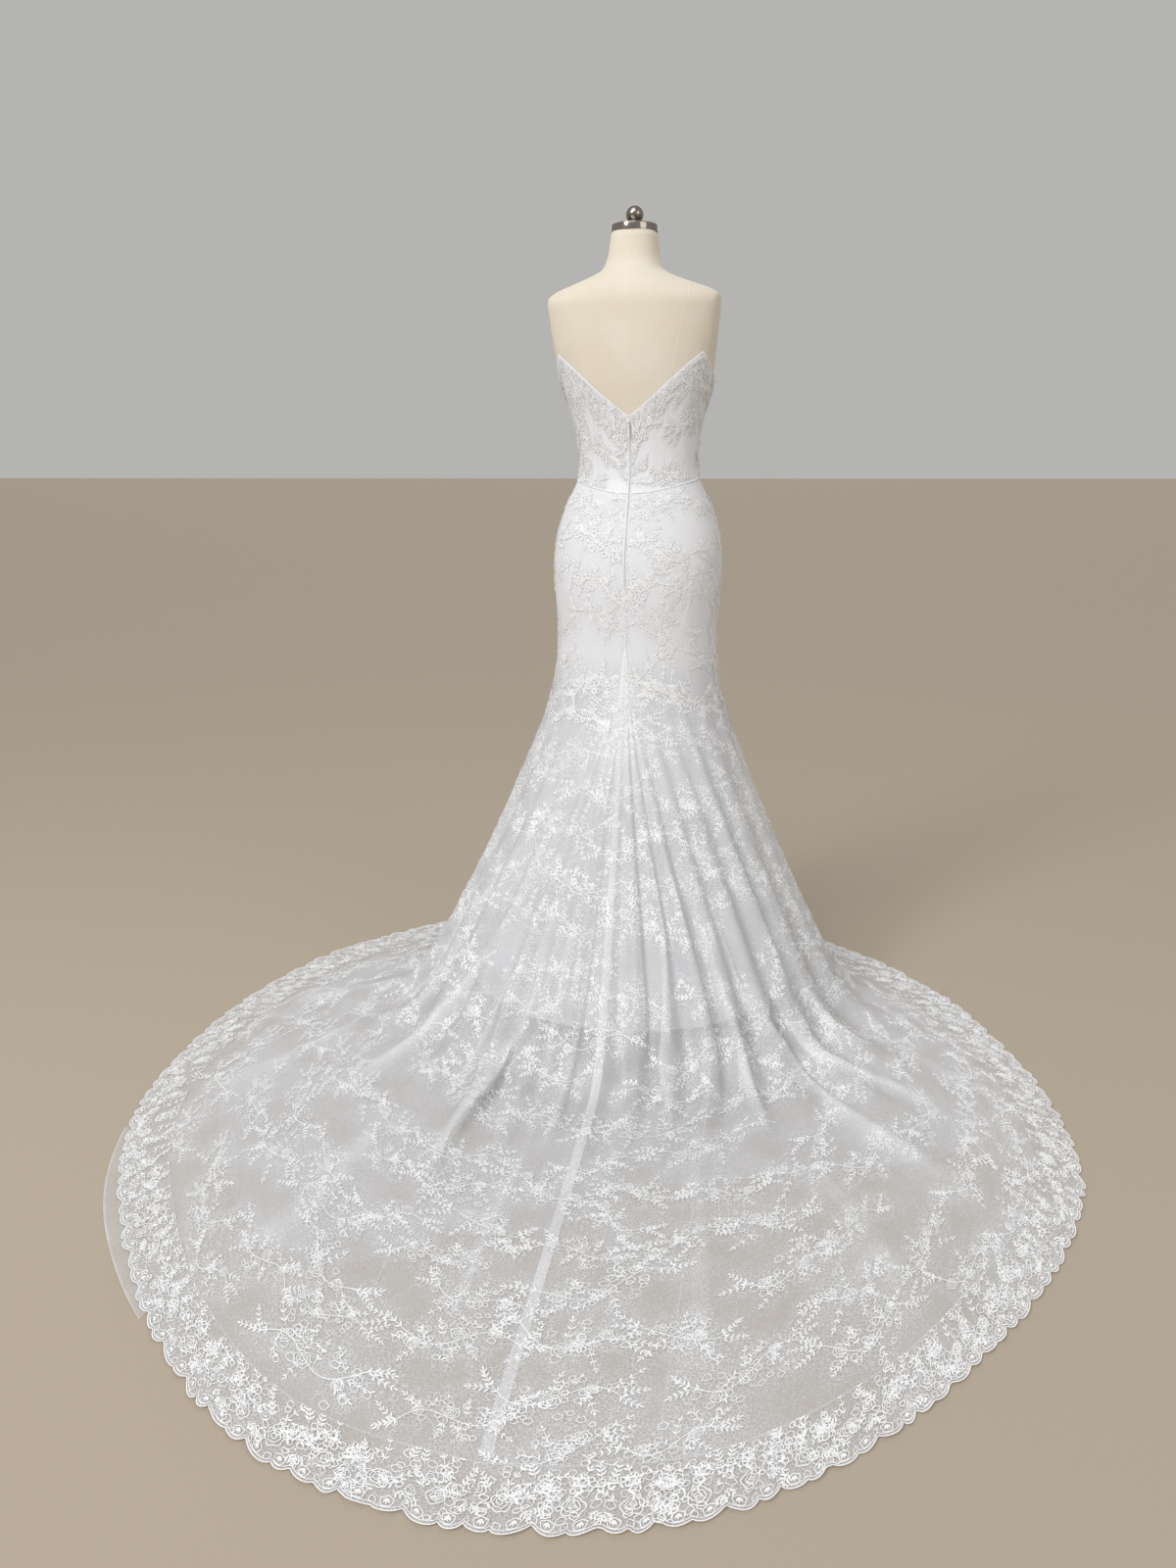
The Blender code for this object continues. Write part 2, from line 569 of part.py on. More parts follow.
def make_hem_lace(home):
    """The scalloped border in three lengths, whose upper edge follows the panels' lower edges.

    In front it bends from the slope onto the floor, so it has more rows there.
    """
    for name, first, last, rows in (("hem_lace_left", 0.0, SIDE_TURN, 2),
                                    ("hem_lace_front", SIDE_TURN, 360.0 - SIDE_TURN, HEM_FRONT_ROWS),
                                    ("hem_lace_right", 360.0 - SIDE_TURN, 360.0, 2)):
        gores = hem_spacing(first, last)
        surface, normal = hem_lace_shape(gores, gore_columns(first, last))
        cloth_panel(name, surface, gores, np.linspace(0.0, 1.0, rows), "border_lace", home, normal_of=normal)


def hem_lace_shape(gores, columns):
    """The border's surface and its normals between the skirt panels' columns and the scalloped edge.

    At its upper edge it is straight between the panels' columns, and lower down it is the skirt's surface.
    """
    lobes = scallop(len(gores))
    inset = 2 * SEAM_GAP - HEM_LACE
    start = np.full(columns.shape, inset)
    edge, edge_normal = hem_surface(columns, start), surface_frame(hem_surface, columns, start)[2]

    def beyond_hem(gore, share):
        return inset + (np.interp(gore, gores, lobes) - inset) * share

    def surface(gore, share):
        top = np.full(gore.shape, inset)
        step = between_columns(gore, columns, edge) - hem_surface(gore, top)
        return hem_surface(gore, beyond_hem(gore, share)) + step * (1 - share)[..., None]

    def normal(gore, share):
        own = surface_frame(hem_surface, gore, beyond_hem(gore, share))[2]
        return unit(mix(between_columns(gore, columns, edge_normal), own, np.minimum(2 * share, 1.0)))

    return surface, normal


def make_underlay(home):
    """The plain sheer layer that shows as a crescent beyond the lace on the wearer's left."""
    fine = np.linspace(0.0, SIDE_TURN, 2001)
    edge = skirt_surface(fine, 2.0)
    turns = np.degrees(np.arctan2(edge[:, 0], edge[:, 1]))
    gores = hem_spacing(0.0, SIDE_TURN)
    lobes = scallop(len(gores))
    first, last = np.interp((UNDERLAY_FIRST_TURN, UNDERLAY_LAST_TURN), turns, fine)
    inside = (gores > first) & (gores < last)

    def surface(gore, share):
        lobe = np.interp(gore, gores, lobes) + SEAM_GAP
        swell = np.sin(math.pi * np.clip((gore - first) / (last - first), 0, 1))
        width = UNDERLAY_END + UNDERLAY_SWELL * swell
        return hem_surface(gore, lobe + (width + SCALLOP_DEPTH - lobe) * share)

    cloth_panel("tulle_underlay", surface, gores[inside], np.array((0.0, 1.0)), "tulle", home,
                thick=UNDERLAY_THICK)


# ---------------------------------------------------------------- the zip
def make_zip(home, tools):
    """The closed zip over the centre back seam, with its slider and the pull tab that swings on it.

    The tape's rows lie level with those of the panels under it.
    """
    waist = float(waist_height(0.0))
    half_turn = math.degrees(ZIP_WIDTH / 2 / float(body_radius(0.0, waist)))
    rows = np.concatenate((waist + (FLARE_TOP - waist) * np.array(UPPER_SHARES),
                           np.linspace(waist, NECK_BACK, BODICE_ROWS + 1)))
    heights = np.unique(np.clip(rows, ZIP_END, ZIP_TOP))
    cloth_panel("zip_tape", worn_surface, np.array((-half_turn, 0, half_turn)), heights, "zip_cloth",
                home, lift=WALL + SEAM_GAP, thick=ZIP_THICK, outward=-1.0)
    at = worn_surface(np.array(0.0), np.array(SLIDER_HEIGHT))
    _, up, inward = surface_frame(worn_surface, np.array(0.0), np.array(SLIDER_HEIGHT))
    seat = at - inward * (WALL + ZIP_THICK + 2 * SEAM_GAP)
    slope = math.atan2(up[1], up[2])
    make_slider(seat, slope, home, tools)
    make_pull_tab(seat - inward * PIVOT_RISE, home, tools)


def make_slider(seat, slope, home, tools):
    """The slider's body with a bridge on it, bored across for the tab's top bar."""
    rise = SLIDER_SIZE[1]
    body = box("zip_slider", SLIDER_SIZE, home, at=(0.0, rise / 2, 0.0))
    body.data.materials.append(material("zip_metal"))
    top = PIVOT_RISE + BRIDGE_BORE + BRIDGE_WALL
    bridge_size = (BRIDGE_WIDTH, top - rise / 2, 2 * (BRIDGE_BORE + BRIDGE_WALL))
    bridge = box("slider_bridge", bridge_size, tools, at=(0.0, (top + rise / 2) / 2, 0.0))
    bore = rod("slider_bore", BRIDGE_BORE, 2 * BRIDGE_WIDTH, tools, at=(0.0, PIVOT_RISE, 0.0))
    bevel = body.modifiers.new("round", "BEVEL")
    bevel.width, bevel.segments = 0.0007, 2
    combine(body, bridge, "UNION")
    combine(body, bore, "DIFFERENCE")
    for piece in (body, bridge, bore):
        piece.location = seat
        piece.rotation_euler = (-slope, 0.0, 0.0)


def make_pull_tab(pivot, home, tools):
    """The pull tab hangs from its pivot: a strip with a round end and an eye round the slider's bridge."""
    half = TAB_WIDTH / 2
    end = [(half * math.cos(a), half * (1 + math.sin(a)) - TAB_LENGTH)
           for a in np.radians(np.arange(180, 361, 22.5))]
    waisted = [(x * TAB_WAIST, -TAB_EYE - half) for x in (half, -half)]
    outline = [*end, waisted[0], (half, -TAB_EYE), (half, TAB_THICK / 2), (-half, TAB_THICK / 2),
               (-half, -TAB_EYE), waisted[1]]
    shape = bmesh.new()
    face = shape.faces.new([shape.verts.new((x, -TAB_THICK / 2, z)) for x, z in outline])
    grown = bmesh.ops.extrude_face_region(shape, geom=[face])["geom"]
    far_side = [v for v in grown if isinstance(v, bmesh.types.BMVert)]
    bmesh.ops.translate(shape, vec=(0.0, TAB_THICK, 0.0), verts=far_side)
    bmesh.ops.recalc_face_normals(shape, faces=shape.faces)
    tab = solid_object("zip_pull_tab", shape, home)
    tab.data.materials.append(material("zip_metal"))
    eye_size = (BRIDGE_WIDTH + 2 * SEAM_GAP, 5 * TAB_THICK, TAB_EYE - TAB_THICK)
    eye = box("tab_eye", eye_size, tools, at=(0.0, 0.0, -TAB_EYE / 2))
    combine(tab, eye, "DIFFERENCE")
    for piece in (tab, eye):
        piece.location = pivot


# ---------------------------------------------------------------- the dress form
def ring_points(turns, height, half_breadth, back_depth, front_depth, side_drop):
    """One ring of the shoulders or neck, its sides lower than its front and back."""
    r = section_radius(turns, half_breadth, back_depth, front_depth)
    drop = side_drop * np.abs(np.sin(np.radians(turns))) ** 2.2
    return np.column_stack((plan_direction(turns) * r[:, None] + lean(height), height - drop))


def make_torso(home, tools):
    """The linen-covered torso: rings up the body, the shoulders and the neck, cut flat at the arms."""
    turns = np.arange(0, 360, 360 / TORSO_COLUMNS)
    heights = np.linspace(TORSO_BOTTOM, SHOULDER_START, TORSO_ROWS)
    rings = [worn_surface(turns, np.full(turns.shape, h), out=-FORM_INSET, fullness=FORM_BUST)
             for h in heights]
    rings += [ring_points(turns, *row) for row in SHOULDERS]
    points = np.concatenate(rings)
    count, around = len(rings), len(turns)
    n = np.arange(count * around).reshape(count, around)
    ahead = np.roll(n, -1, 1)
    sides = np.stack((n[:-1], ahead[:-1], ahead[1:], n[1:]), -1).reshape(-1, 4)
    mesh = bpy.data.meshes.new("form_torso")
    mesh.from_pydata(points.tolist(), [], [*sides.tolist(), n[0].tolist()[::-1], n[-1].tolist()])
    turn_faces_outward(mesh)
    torso = add_object("form_torso", mesh, "linen", home)
    for side, sign in (("left", 1), ("right", -1)):
        plane = box("arm_plane_" + side, ARM_CUTTER, tools)
        middle = sign * (ARM_PLANE + ARM_CUTTER[0] / 2) + lean(ARM_HEIGHT)[0]
        plane.location = (middle, 0.0, ARM_HEIGHT)
        plane.rotation_euler = (0.0, sign * math.radians(ARM_TILT), 0.0)
        combine(torso, plane, "DIFFERENCE")


def turned(name, profile, finish, home, steps=32, place=(0.0, 0.0)):
    """A turned solid: a profile of (radius, height) rows, top to bottom, spun by a Screw modifier."""
    mesh = bpy.data.meshes.new(name)
    mesh.from_pydata([(r, 0.0, z) for r, z in profile], [(i, i + 1) for i in range(len(profile) - 1)], [])
    made = bpy.data.objects.new(name, mesh)
    mesh.materials.append(material(finish))
    home.objects.link(made)
    screw = made.modifiers.new("turn", "SCREW")
    screw.steps = screw.render_steps = steps
    screw.use_merge_vertices = True
    screw.merge_threshold = 0.0001
    screw.use_smooth_shade = True
    made.location.xy = place
    return made


def make_stand(home):
    """The pole and round base under the skirt, and the cap and ball on the neck."""
    edge = 0.003
    turned("form_base", (
        (0.0, BASE_HUB_TOP), (BASE_HUB_RADIUS - edge, BASE_HUB_TOP), (BASE_HUB_RADIUS, BASE_HUB_TOP - edge),
        (BASE_HUB_RADIUS, BASE_EDGE + 0.014), (BASE_HUB_RADIUS + 0.008, BASE_EDGE + 0.006),
        (BASE_RADIUS - edge, BASE_EDGE), (BASE_RADIUS, BASE_EDGE - edge), (BASE_RADIUS, 0.0),
        (0.0, 0.0)), "enamel", home)
    low, high = BASE_HUB_TOP + SEAM_GAP, TORSO_BOTTOM - SEAM_GAP
    pole = ((0.0, high), (POLE_RADIUS, high), (POLE_RADIUS, low), (0.0, low))
    turned("form_pole", pole, "steel", home, steps=24)
    top = lean(NECK_TOP)
    low, high = NECK_TOP + SEAM_GAP, NECK_TOP + SEAM_GAP + CAP_HEIGHT
    turned("form_neck_cap", (
        (0.0, high), (CAP_RADIUS - edge, high), (CAP_RADIUS, high - edge), (CAP_RADIUS, low),
        (0.0, low)), "steel", home, place=top)
    make_finial(high + SEAM_GAP, top, home)


def make_finial(low, place, home):
    """The ball on its short stem."""
    centre = low + FINIAL_STEM + BALL_RADIUS * 0.90
    cut = math.acos((low + FINIAL_STEM - centre) / BALL_RADIUS)
    ball = [(BALL_RADIUS * math.sin(a), centre + BALL_RADIUS * math.cos(a)) for a in np.linspace(0, cut, 10)]
    stem = ((FINIAL_STEM_RADIUS * 0.8, low + FINIAL_STEM * 0.7), (FINIAL_STEM_RADIUS, low + 0.001),
            (FINIAL_STEM_RADIUS, low), (0.0, low))
    turned("form_finial", (*ball, *stem), "steel", home, steps=20, place=place)


def main():
    clear_scene()
    home, tools = collection("wedding_dress"), collection("cutters")
    make_torso(home, tools)
    make_stand(home)
    make_bodice(home)
    make_skirt(home)
    make_hem_lace(home)
    make_underlay(home)
    make_zip(home, tools)


main()
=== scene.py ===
"""The looks of a strapless lace wedding dress with a long train, on its limbless dress form.

Frame: metres, +Z up, the floor at z = 0 and the form's pole on the Z axis. The wearer faces -Y, the train
runs out along +Y and the wearer's left is +X. A turn is an angle round the Z axis in degrees, 0 at the
centre back and positive towards the wearer's left. A gore is the turn at which a line down the skirt meets
the floor. Rows run down the skirt: -1 is the waist seam, 0 the flare ring, 1 the floor and 2 the hem.
"""

import logging
import math
from collections.abc import Callable, Iterable, Sequence
from dataclasses import dataclass, field
from enum import Enum
from typing import Any

import bpy
import numpy as np
from mathutils import Matrix, Vector


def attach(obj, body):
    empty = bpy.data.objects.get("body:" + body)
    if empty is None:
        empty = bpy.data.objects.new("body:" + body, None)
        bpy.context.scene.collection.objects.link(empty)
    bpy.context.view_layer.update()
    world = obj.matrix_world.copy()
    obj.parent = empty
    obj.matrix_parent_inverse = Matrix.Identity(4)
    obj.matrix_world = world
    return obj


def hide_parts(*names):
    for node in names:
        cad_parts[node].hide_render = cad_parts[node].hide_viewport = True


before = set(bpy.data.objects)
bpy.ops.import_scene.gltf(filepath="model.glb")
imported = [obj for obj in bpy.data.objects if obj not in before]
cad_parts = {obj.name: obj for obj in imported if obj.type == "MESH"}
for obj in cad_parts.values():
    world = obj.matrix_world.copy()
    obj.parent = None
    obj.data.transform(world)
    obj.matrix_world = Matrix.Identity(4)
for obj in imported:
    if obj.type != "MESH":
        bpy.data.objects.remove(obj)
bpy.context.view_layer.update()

LOG = logging.getLogger("wedding_dress")
Array = np.ndarray
Surface = Callable[[Array, Array], Array]
Pair = tuple[float, float]
Colour = tuple[float, float, float]
Parts = tuple[Array, Array]
Marks = dict[str, Array | float]
Library = list[Parts]
Draws = np.random.Generator
Material = bpy.types.Material
Socket = bpy.types.NodeSocket

BODY = "dress_on_form"
PIECES: dict[str, bpy.types.Object] = {}
NEARLY = 1e-6
CANDIDATES = 6000
FULLY_WORKED = 6.0e4

# ---- driving sizes, in metres and degrees
WALL = 0.0016
SEAM_GAP = 0.0003
WORN_GAP = 0.0016
SEAM_GROOVE = 0.0002
SQUARENESS = 2.25
WAIST_SIDE, WAIST_BACK, WAIST_FRONT = 1.086, 1.058, 1.068
NECK_BACK, NECK_PEAK, NECK_UNDERARM = 1.202, 1.317, 1.272
NECK_CUP, NECK_FRONT = 1.338, 1.232
CUP_ASIDE, CUP_SPREAD, CUP_RISE = 33.0, 24.0, 0.024
CUP_HEIGHT, CUP_TALL = 1.262, 0.052
PEAK_TURN, UNDERARM_TURN, CUP_TURN = 68.0, 92.0, 150.0
NECK_SAG, NECK_SECTION = 1.2, (0.1465, 0.099, 0.116)
FLARE_TOP, FLARE_DROP, FLARE_EASE, FLOOR_EASE = 0.75, 0.08, 0.012, 0.03
FLARE_CROWDING, FLOOR_SINK, FOLD_GROWN = 1.6, 0.0006, 0.85
GODET_TURN, GODET_TOP_TURN, GODET_RISE = 25.0, 2.2, 0.1
SIDE_TURN = 92.0
HEM_LACE, SCALLOP_PITCH, SCALLOP_DEPTH = 0.085, 0.072, 0.013
FRONT_LANDING = 0.85
TRAIN_SWING = -4.0
ZIP_TOP, ZIP_END = 1.196, 0.88
ZIP_ASIDE, ZIP_CLEAR = 0.0018, 0.0042
TORSO_BOTTOM, SHOULDER_START, NECK_TOP = 0.775, 1.386, 1.537
ARM_PLANE, ARM_HEIGHT, ARM_TILT = 0.158, 1.362, 6.5
FORM_BUST, FORM_INSET = 0.55, 0.001
CAP_RADIUS, CAP_HEIGHT, BALL_RADIUS = 0.045, 0.014, 0.017
FINIAL_STEM_RADIUS, FINIAL_STEM = 0.0085, 0.003

# ---- tables, one row for each section or fold
# height, half breadth, depth behind, depth in front
BODY_SECTIONS = np.array((
    (0.7, 0.158, 0.121, 0.1), (0.8, 0.161, 0.129, 0.104), (0.89, 0.1675, 0.134, 0.106),
    (0.95, 0.166, 0.127, 0.107), (1.03, 0.145, 0.104, 0.102), (1.086, 0.1195, 0.087, 0.092),
    (1.15, 0.118, 0.087, 0.096), (1.2, 0.127, 0.092, 0.104), (1.265, 0.1465, 0.099, 0.116),
    (1.33, 0.164, 0.1, 0.104), (1.38, 0.174, 0.096, 0.088),
))
# height, half breadth, depth behind, depth in front, side drop
SHOULDERS = (
    (1.415, 0.176, 0.093, 0.08, 0.003), (1.44, 0.157, 0.083, 0.07, 0.01),
    (1.454, 0.119, 0.074, 0.062, 0.01), (1.465, 0.083, 0.066, 0.056, 0.008),
    (1.473, 0.062, 0.0575, 0.05, 0.004), (1.485, 0.0535, 0.051, 0.047, 0),
    (1.5, 0.049, 0.048, 0.045, 0), (NECK_TOP, 0.0435, 0.0435, 0.042, 0),
)
# height, leftward, backward
LEAN = np.array((
    (1.086, 0, 0), (1.2, 0.002, 0.003), (1.3, 0.005, 0.012), (1.4, 0.008, 0.022),
    (NECK_TOP, 0.009, 0.022),
))
# turn, floor radius, hem turn
GORES = np.array((
    (0, 0.5, 0), (25, 0.495, 8.5), (40, 0.49, 24), (60, 0.46, 52),
    (SIDE_TURN, 0.43, 97), (120, 0.42, 122), (150, 0.415, 150.5), (180, 0.41, 180),
))
# turn, radius
HEM = np.array((
    (0, 1.452), (10, 1.42), (20, 1.33), (30, 1.226), (40, 1.138), (50, 1.048),
    (60, 0.945), (70, 0.85), (80, 0.766), (90, 0.7), (100, 0.63), (110, 0.582),
    (120, 0.535), (135, 0.492), (150, 0.468), (180, 0.452),
))
# turn, height, reach
FOLDS = np.array((
    (-180, 0.018, 0.1), (-156, 0.022, 0.1), (-134, 0.019, 0.1), (-113, 0.024, 0.12),
    (-95, 0.02, 0.16), (-80, 0.024, 0.3), (-66, 0.018, 0.42), (-54, 0.026, 0.5),
    (-43.5, 0.016, 0.36), (-34, 0.02, 0.46), (-25, 0.026, 0.4), (-16.5, 0.013, 0.28),
    (-8.5, 0.019, 0.34), (0, 0.01, 0.6), (8, 0.017, 0.26), (16, 0.014, 0.38),
    (25, 0.025, 0.52), (35, 0.016, 0.32), (46, 0.022, 0.44), (57.5, 0.017, 0.4),
    (70, 0.024, 0.34), (83, 0.019, 0.22), (98, 0.024, 0.14), (117, 0.02, 0.1),
    (137, 0.024, 0.1), (158, 0.019, 0.1), (180, 0.018, 0.1),
))
# name, first and last turn at the waist, first and last turn at the top
BODICE = (
    ("bodice_back_left", 0, 40, 0, 44),
    ("bodice_side_left", 40, SIDE_TURN, 44, SIDE_TURN),
    ("bodice_cup_left", SIDE_TURN, 143, SIDE_TURN, 146),
    ("bodice_front", 143, 217, 146, 214),
    ("bodice_cup_right", 217, 360 - SIDE_TURN, 214, 360 - SIDE_TURN),
    ("bodice_side_right", 360 - SIDE_TURN, 320, 360 - SIDE_TURN, 316),
    ("bodice_back_right", 320, 360, 316, 360),
)
# name, first gore, last gore
SKIRT = (
    ("skirt_back_left", GODET_TURN, SIDE_TURN), ("skirt_back_right", -SIDE_TURN, -GODET_TURN),
    ("skirt_front", SIDE_TURN, 360.0 - SIDE_TURN), ("train_godet_left", 0.0, GODET_TURN),
    ("train_godet_right", -GODET_TURN, 0.0),
)
HEM_PIECES = (
    ("hem_lace_left", 0.0, SIDE_TURN), ("hem_lace_front", SIDE_TURN, 360.0 - SIDE_TURN),
    ("hem_lace_right", 360.0 - SIDE_TURN, 360.0),
)


# ---- curves and vectors
def smooth_table(table: Array, column: int, x: Array) -> Array:
    """A cubic curve through a table's rows, whose end slopes are the rows' mean slopes.

    Args:
        table: Rows that start with their x.
        column: The column to follow.
        x: Places along it.

    Returns:
        The curve's values there.
    """
    xs, ys = table[:, 0], table[:, column]
    slopes = np.gradient(ys, xs)
    x = np.clip(x, xs[0], xs[-1])
    i = np.clip(np.searchsorted(xs, x) - 1, 0, len(xs) - 2)
    span = xs[i + 1] - xs[i]
    t = (x - xs[i]) / span
    a = ys[i] * (1 + 2 * t) * (1 - t) ** 2 + ys[i + 1] * t * t * (3 - 2 * t)
    return a + span * (slopes[i] * t * (1 - t) ** 2 + slopes[i + 1] * t * t * (t - 1))


def smooth_step(t: Array | float) -> Array:
    """0 below 0, 1 above 1 and t^2 (3 - 2t) between."""
    t = np.clip(t, 0.0, 1.0)
    return t * t * (3 - 2 * t)


def soft_ramp(x: Array, ease: float | Array) -> Array:
    """0 for x well below 0 and x for x well above it: ease times the logarithm of 1 + e^(x / ease)."""
    return ease * np.logaddexp(0.0, x / ease)


def folded_turn(turn: Array | float) -> Array:
    """The same turn between -180 and 180."""
    return (np.asarray(turn, float) + 180.0) % 360.0 - 180.0


def plan_direction(turn: Array | float) -> Array:
    """The unit plan vector (sin turn, cos turn)."""
    a = np.radians(turn)
    return np.stack((np.sin(a), np.cos(a)), -1)


def mix(a: Array, b: Array, share: Array) -> Array:
    """a where share is 0 and b where it is 1, for vectors in the last axis."""
    return a + (b - a) * share[..., None]


def unit(v: Array) -> Array:
    """Vectors of length 1 in the same directions."""
    return v / np.maximum(np.linalg.norm(v, axis=-1, keepdims=True), 1e-12)


def surface_normal(surface: Surface, across: Array, along: Array) -> Array:
    """The cross product of a surface's small steps across and along it."""
    u = surface(across + 1e-3, along) - surface(across - 1e-3, along)
    return unit(np.cross(u, surface(across, along + 1e-3) - surface(across, along - 1e-3)))


# ---- creases placed one by one
class Runs(Enum):
    """Which way a crease runs over the cloth."""

    DOWN = "down"
    ACROSS = "across"


@dataclass(frozen=True)
class Crease:
    """A soft ridge or trough along a line of (along, aside) points, with its own width and height.

    Along is the height or row where it runs down, and the turn where it runs across. Skew steepens one side.
    """

    path: tuple[Pair, ...]
    width: float
    height: float
    skew: float = 0.0
    runs: Runs = Runs.DOWN

    def mark(self, down: Array, turn: Array) -> Array:
        """The strength from 0 to 1: e^-(d / width)^2 across it, eased to 0 at both its ends.

        Args:
            down: Row, or height on the body.
            turn: Gore, or turn on the body.

        Returns:
            The strength at each point.
        """
        along, aside = (down, turn) if self.runs is Runs.DOWN else (turn, down)
        xs, ys = np.array(sorted(self.path)).T
        offset = (aside - np.interp(along, xs, ys)) / self.width
        side = 1.0 + self.skew * np.sign(offset)
        ease = 0.3 * (xs[-1] - xs[0])
        window = smooth_step((along - xs[0]) / ease) * smooth_step((xs[-1] - along) / ease)
        return window * np.exp(-(offset / side) ** 2)


# path as (row, gore), width, height, skew
TRAIN_CREASES = tuple(Crease(*row) for row in (
    (((0.5, 19), (0.78, 20), (0.9, 18.5), (1.02, 22), (1.17, 24), (1.5, 26.5)), 1.1, 0.014, 0.6),
    (((0.45, 34), (0.75, 35.5), (0.83, 40), (0.99, 44.5), (1.27, 45), (1.42, 45.5)), 1.5, 0.011, -0.4),
    (((0.8, -49), (0.96, -50.5), (1.12, -52.5), (1.33, -58.5), (1.62, -61)), 1.6, 0.015, -0.6),
    (((0.45, -17), (0.73, -18.5), (0.99, -14), (1.22, -19)), 1.1, 0.011, -0.5),
    (((0.4, -30), (0.79, -32.5), (1.07, -34), (1.3, -37)), 1.2, 0.01, 0.4),
    (((0.55, -38), (0.86, -39.5), (1.03, -47), (1.37, -50.5), (1.8, -54.5)), 1.4, 0.009, 0.5),
    (((0.22, 12), (0.84, 12.5), (1.1, 11)), 0.8, 0.007, 0.3),
    (((0.3, 5.5), (0.83, 5.5), (1.3, 7.5)), 0.7, 0.005),
    (((0.25, -5), (0.83, -4.5), (1.22, -6.5)), 0.8, 0.006, -0.3),
    (((0.35, -9.5), (0.86, -10.5), (1.05, -10)), 0.7, 0.005),
    (((0.3, -24), (0.84, -26.5), (1.16, -27.5)), 1, 0.008, 0.5),
    (((0.35, 28), (0.86, 28.5), (1.2, 31)), 1, 0.007, -0.4),
    (((0.4, 52), (0.9, 54), (1.25, 56.5)), 1.5, 0.008, 0.4),
    (((0.45, 64), (0.88, 65), (1.3, 62)), 1.6, 0.007),
    (((0.4, 77), (0.9, 78.5), (1.2, 80)), 1.5, 0.008, -0.4),
    (((0.45, -62), (0.92, -63.5), (1.25, -68)), 1.5, 0.008, 0.3),
    (((0.4, -76), (0.86, -77), (1.15, -74)), 1.4, 0.007, -0.3),
    (((1.2, -24), (1.5, -27), (1.85, -28)), 1.2, 0.004, 0.4),
    (((1.15, 10), (1.45, 13), (1.75, 14)), 1.2, 0.004, -0.3),
    (((1.25, 36), (1.55, 34.5), (1.85, 36)), 1.3, 0.005, 0.3),
    (((1.2, 60), (1.5, 56.5), (1.85, 55)), 1.4, 0.005, -0.4),
    (((1.3, -72), (1.6, -68), (1.85, -67)), 1.6, 0.004),
    (((1.1, 72), (1.5, 70), (1.8, 71)), 1.6, 0.005, 0.3),
    (((1.35, -40), (1.6, -43), (1.9, -42.5)), 1.3, 0.004, 0.3),
    *((((top, gore - 1), (0.7, gore), (low, gore + swing)), width, height, skew)
      for top, gore, low, swing, width, height, skew in (
          (0.3, 102, 1.2, 1.5, 2, 0.009, 0.4), (0.4, 112, 1.05, -1, 1.8, 0.007, -0.3),
          (0.35, 127, 1.3, 1, 2.2, 0.009, 0.3), (0.45, 142, 1.1, 2, 1.8, 0.006, 0),
          (0.3, 151, 1.25, -1.5, 2, 0.008, -0.4), (0.4, 166, 1.05, 1, 2, 0.007, 0.3),
          (0.35, 175, 1.2, 0.5, 1.8, 0.006, -0.3), (0.3, -103, 1.15, 1, 2, 0.008, -0.4),
          (0.4, -121, 1.25, -1.5, 2.2, 0.009, 0.4), (0.35, -129, 1.05, 1, 1.8, 0.006, 0),
          (0.45, -146, 1.2, 1.5, 2, 0.008, -0.3), (0.3, -163, 1.3, -1, 2.2, 0.009, 0.4),
          (0.4, -172, 1.1, 1, 1.8, 0.006, 0.3))),
))

BODY_CREASES = (
    # pulls under the waist seam, across: path as (turn, height)
    *(Crease(path, width, height, skew, Runs.ACROSS) for path, width, height, skew in (
        (((4, 1.041), (20, 1.046), (38, 1.058)), 0.0035, 0.0022, 0.3),
        (((12, 1.026), (30, 1.034), (52, 1.052)), 0.004, 0.0017, -0.3),
        (((-26, 1.052), (-14, 1.046), (-3, 1.042)), 0.0032, 0.002, 0.3),
        (((-52, 1.055), (-34, 1.036), (-12, 1.028)), 0.004, 0.0013, -0.2),
        (((128, 1.052), (150, 1.046), (172, 1.048)), 0.004, 0.0015, 0.2),
        (((-168, 1.05), (-145, 1.044), (-126, 1.054)), 0.004, 0.0015, -0.2))),
    # the lining's boning and soft pulls above the waist, then dents of the seat, down: path as (height, turn)
    *(Crease(*row) for row in (
        (((1.058, 31), (1.12, 27), (1.19, 22)), 2.6, 0.0012, 0.3),
        (((1.058, 12), (1.1, 8.5), (1.16, 2.5)), 2.6, -0.0013, 0.2),
        (((1.06, -14), (1.1, -8), (1.15, -2.5)), 2.4, -0.0012, -0.2),
        (((1.06, -26), (1.13, -27), (1.2, -24)), 2.4, 0.001, -0.3),
        (((1.08, 62), (1.17, 60), (1.28, 57)), 2.6, 0.0011),
        (((1.08, -60), (1.17, -62), (1.28, -59)), 2.6, 0.0011),
        (((0.76, 6), (0.84, 4), (0.93, 2.5)), 3, -0.0012, 0.2),
        (((0.76, -7), (0.84, -4.5), (0.93, -2.5)), 3, -0.0012, -0.2),
        (((0.77, 44), (0.85, 49), (0.93, 52)), 5, 0.0014, 0.3),
        (((0.77, -47), (0.86, -52), (0.95, -57)), 5, 0.0013, -0.3))),
    # boning in front and the side seams, the same on both sides
    *(Crease(tuple((height, side * turn) for height, turn in path), width, rise)
      for path, width, rise in (
          (((1.07, 120), (1.14, 121), (1.22, 123)), 2.6, 0.001),
          (((1.068, 160), (1.14, 163), (1.21, 166)), 2.4, 0.0009),
          (((0.78, 92), (0.9, 92), (1.07, 92)), 0.9, 0.0007))
      for side in (1, -1)),
)


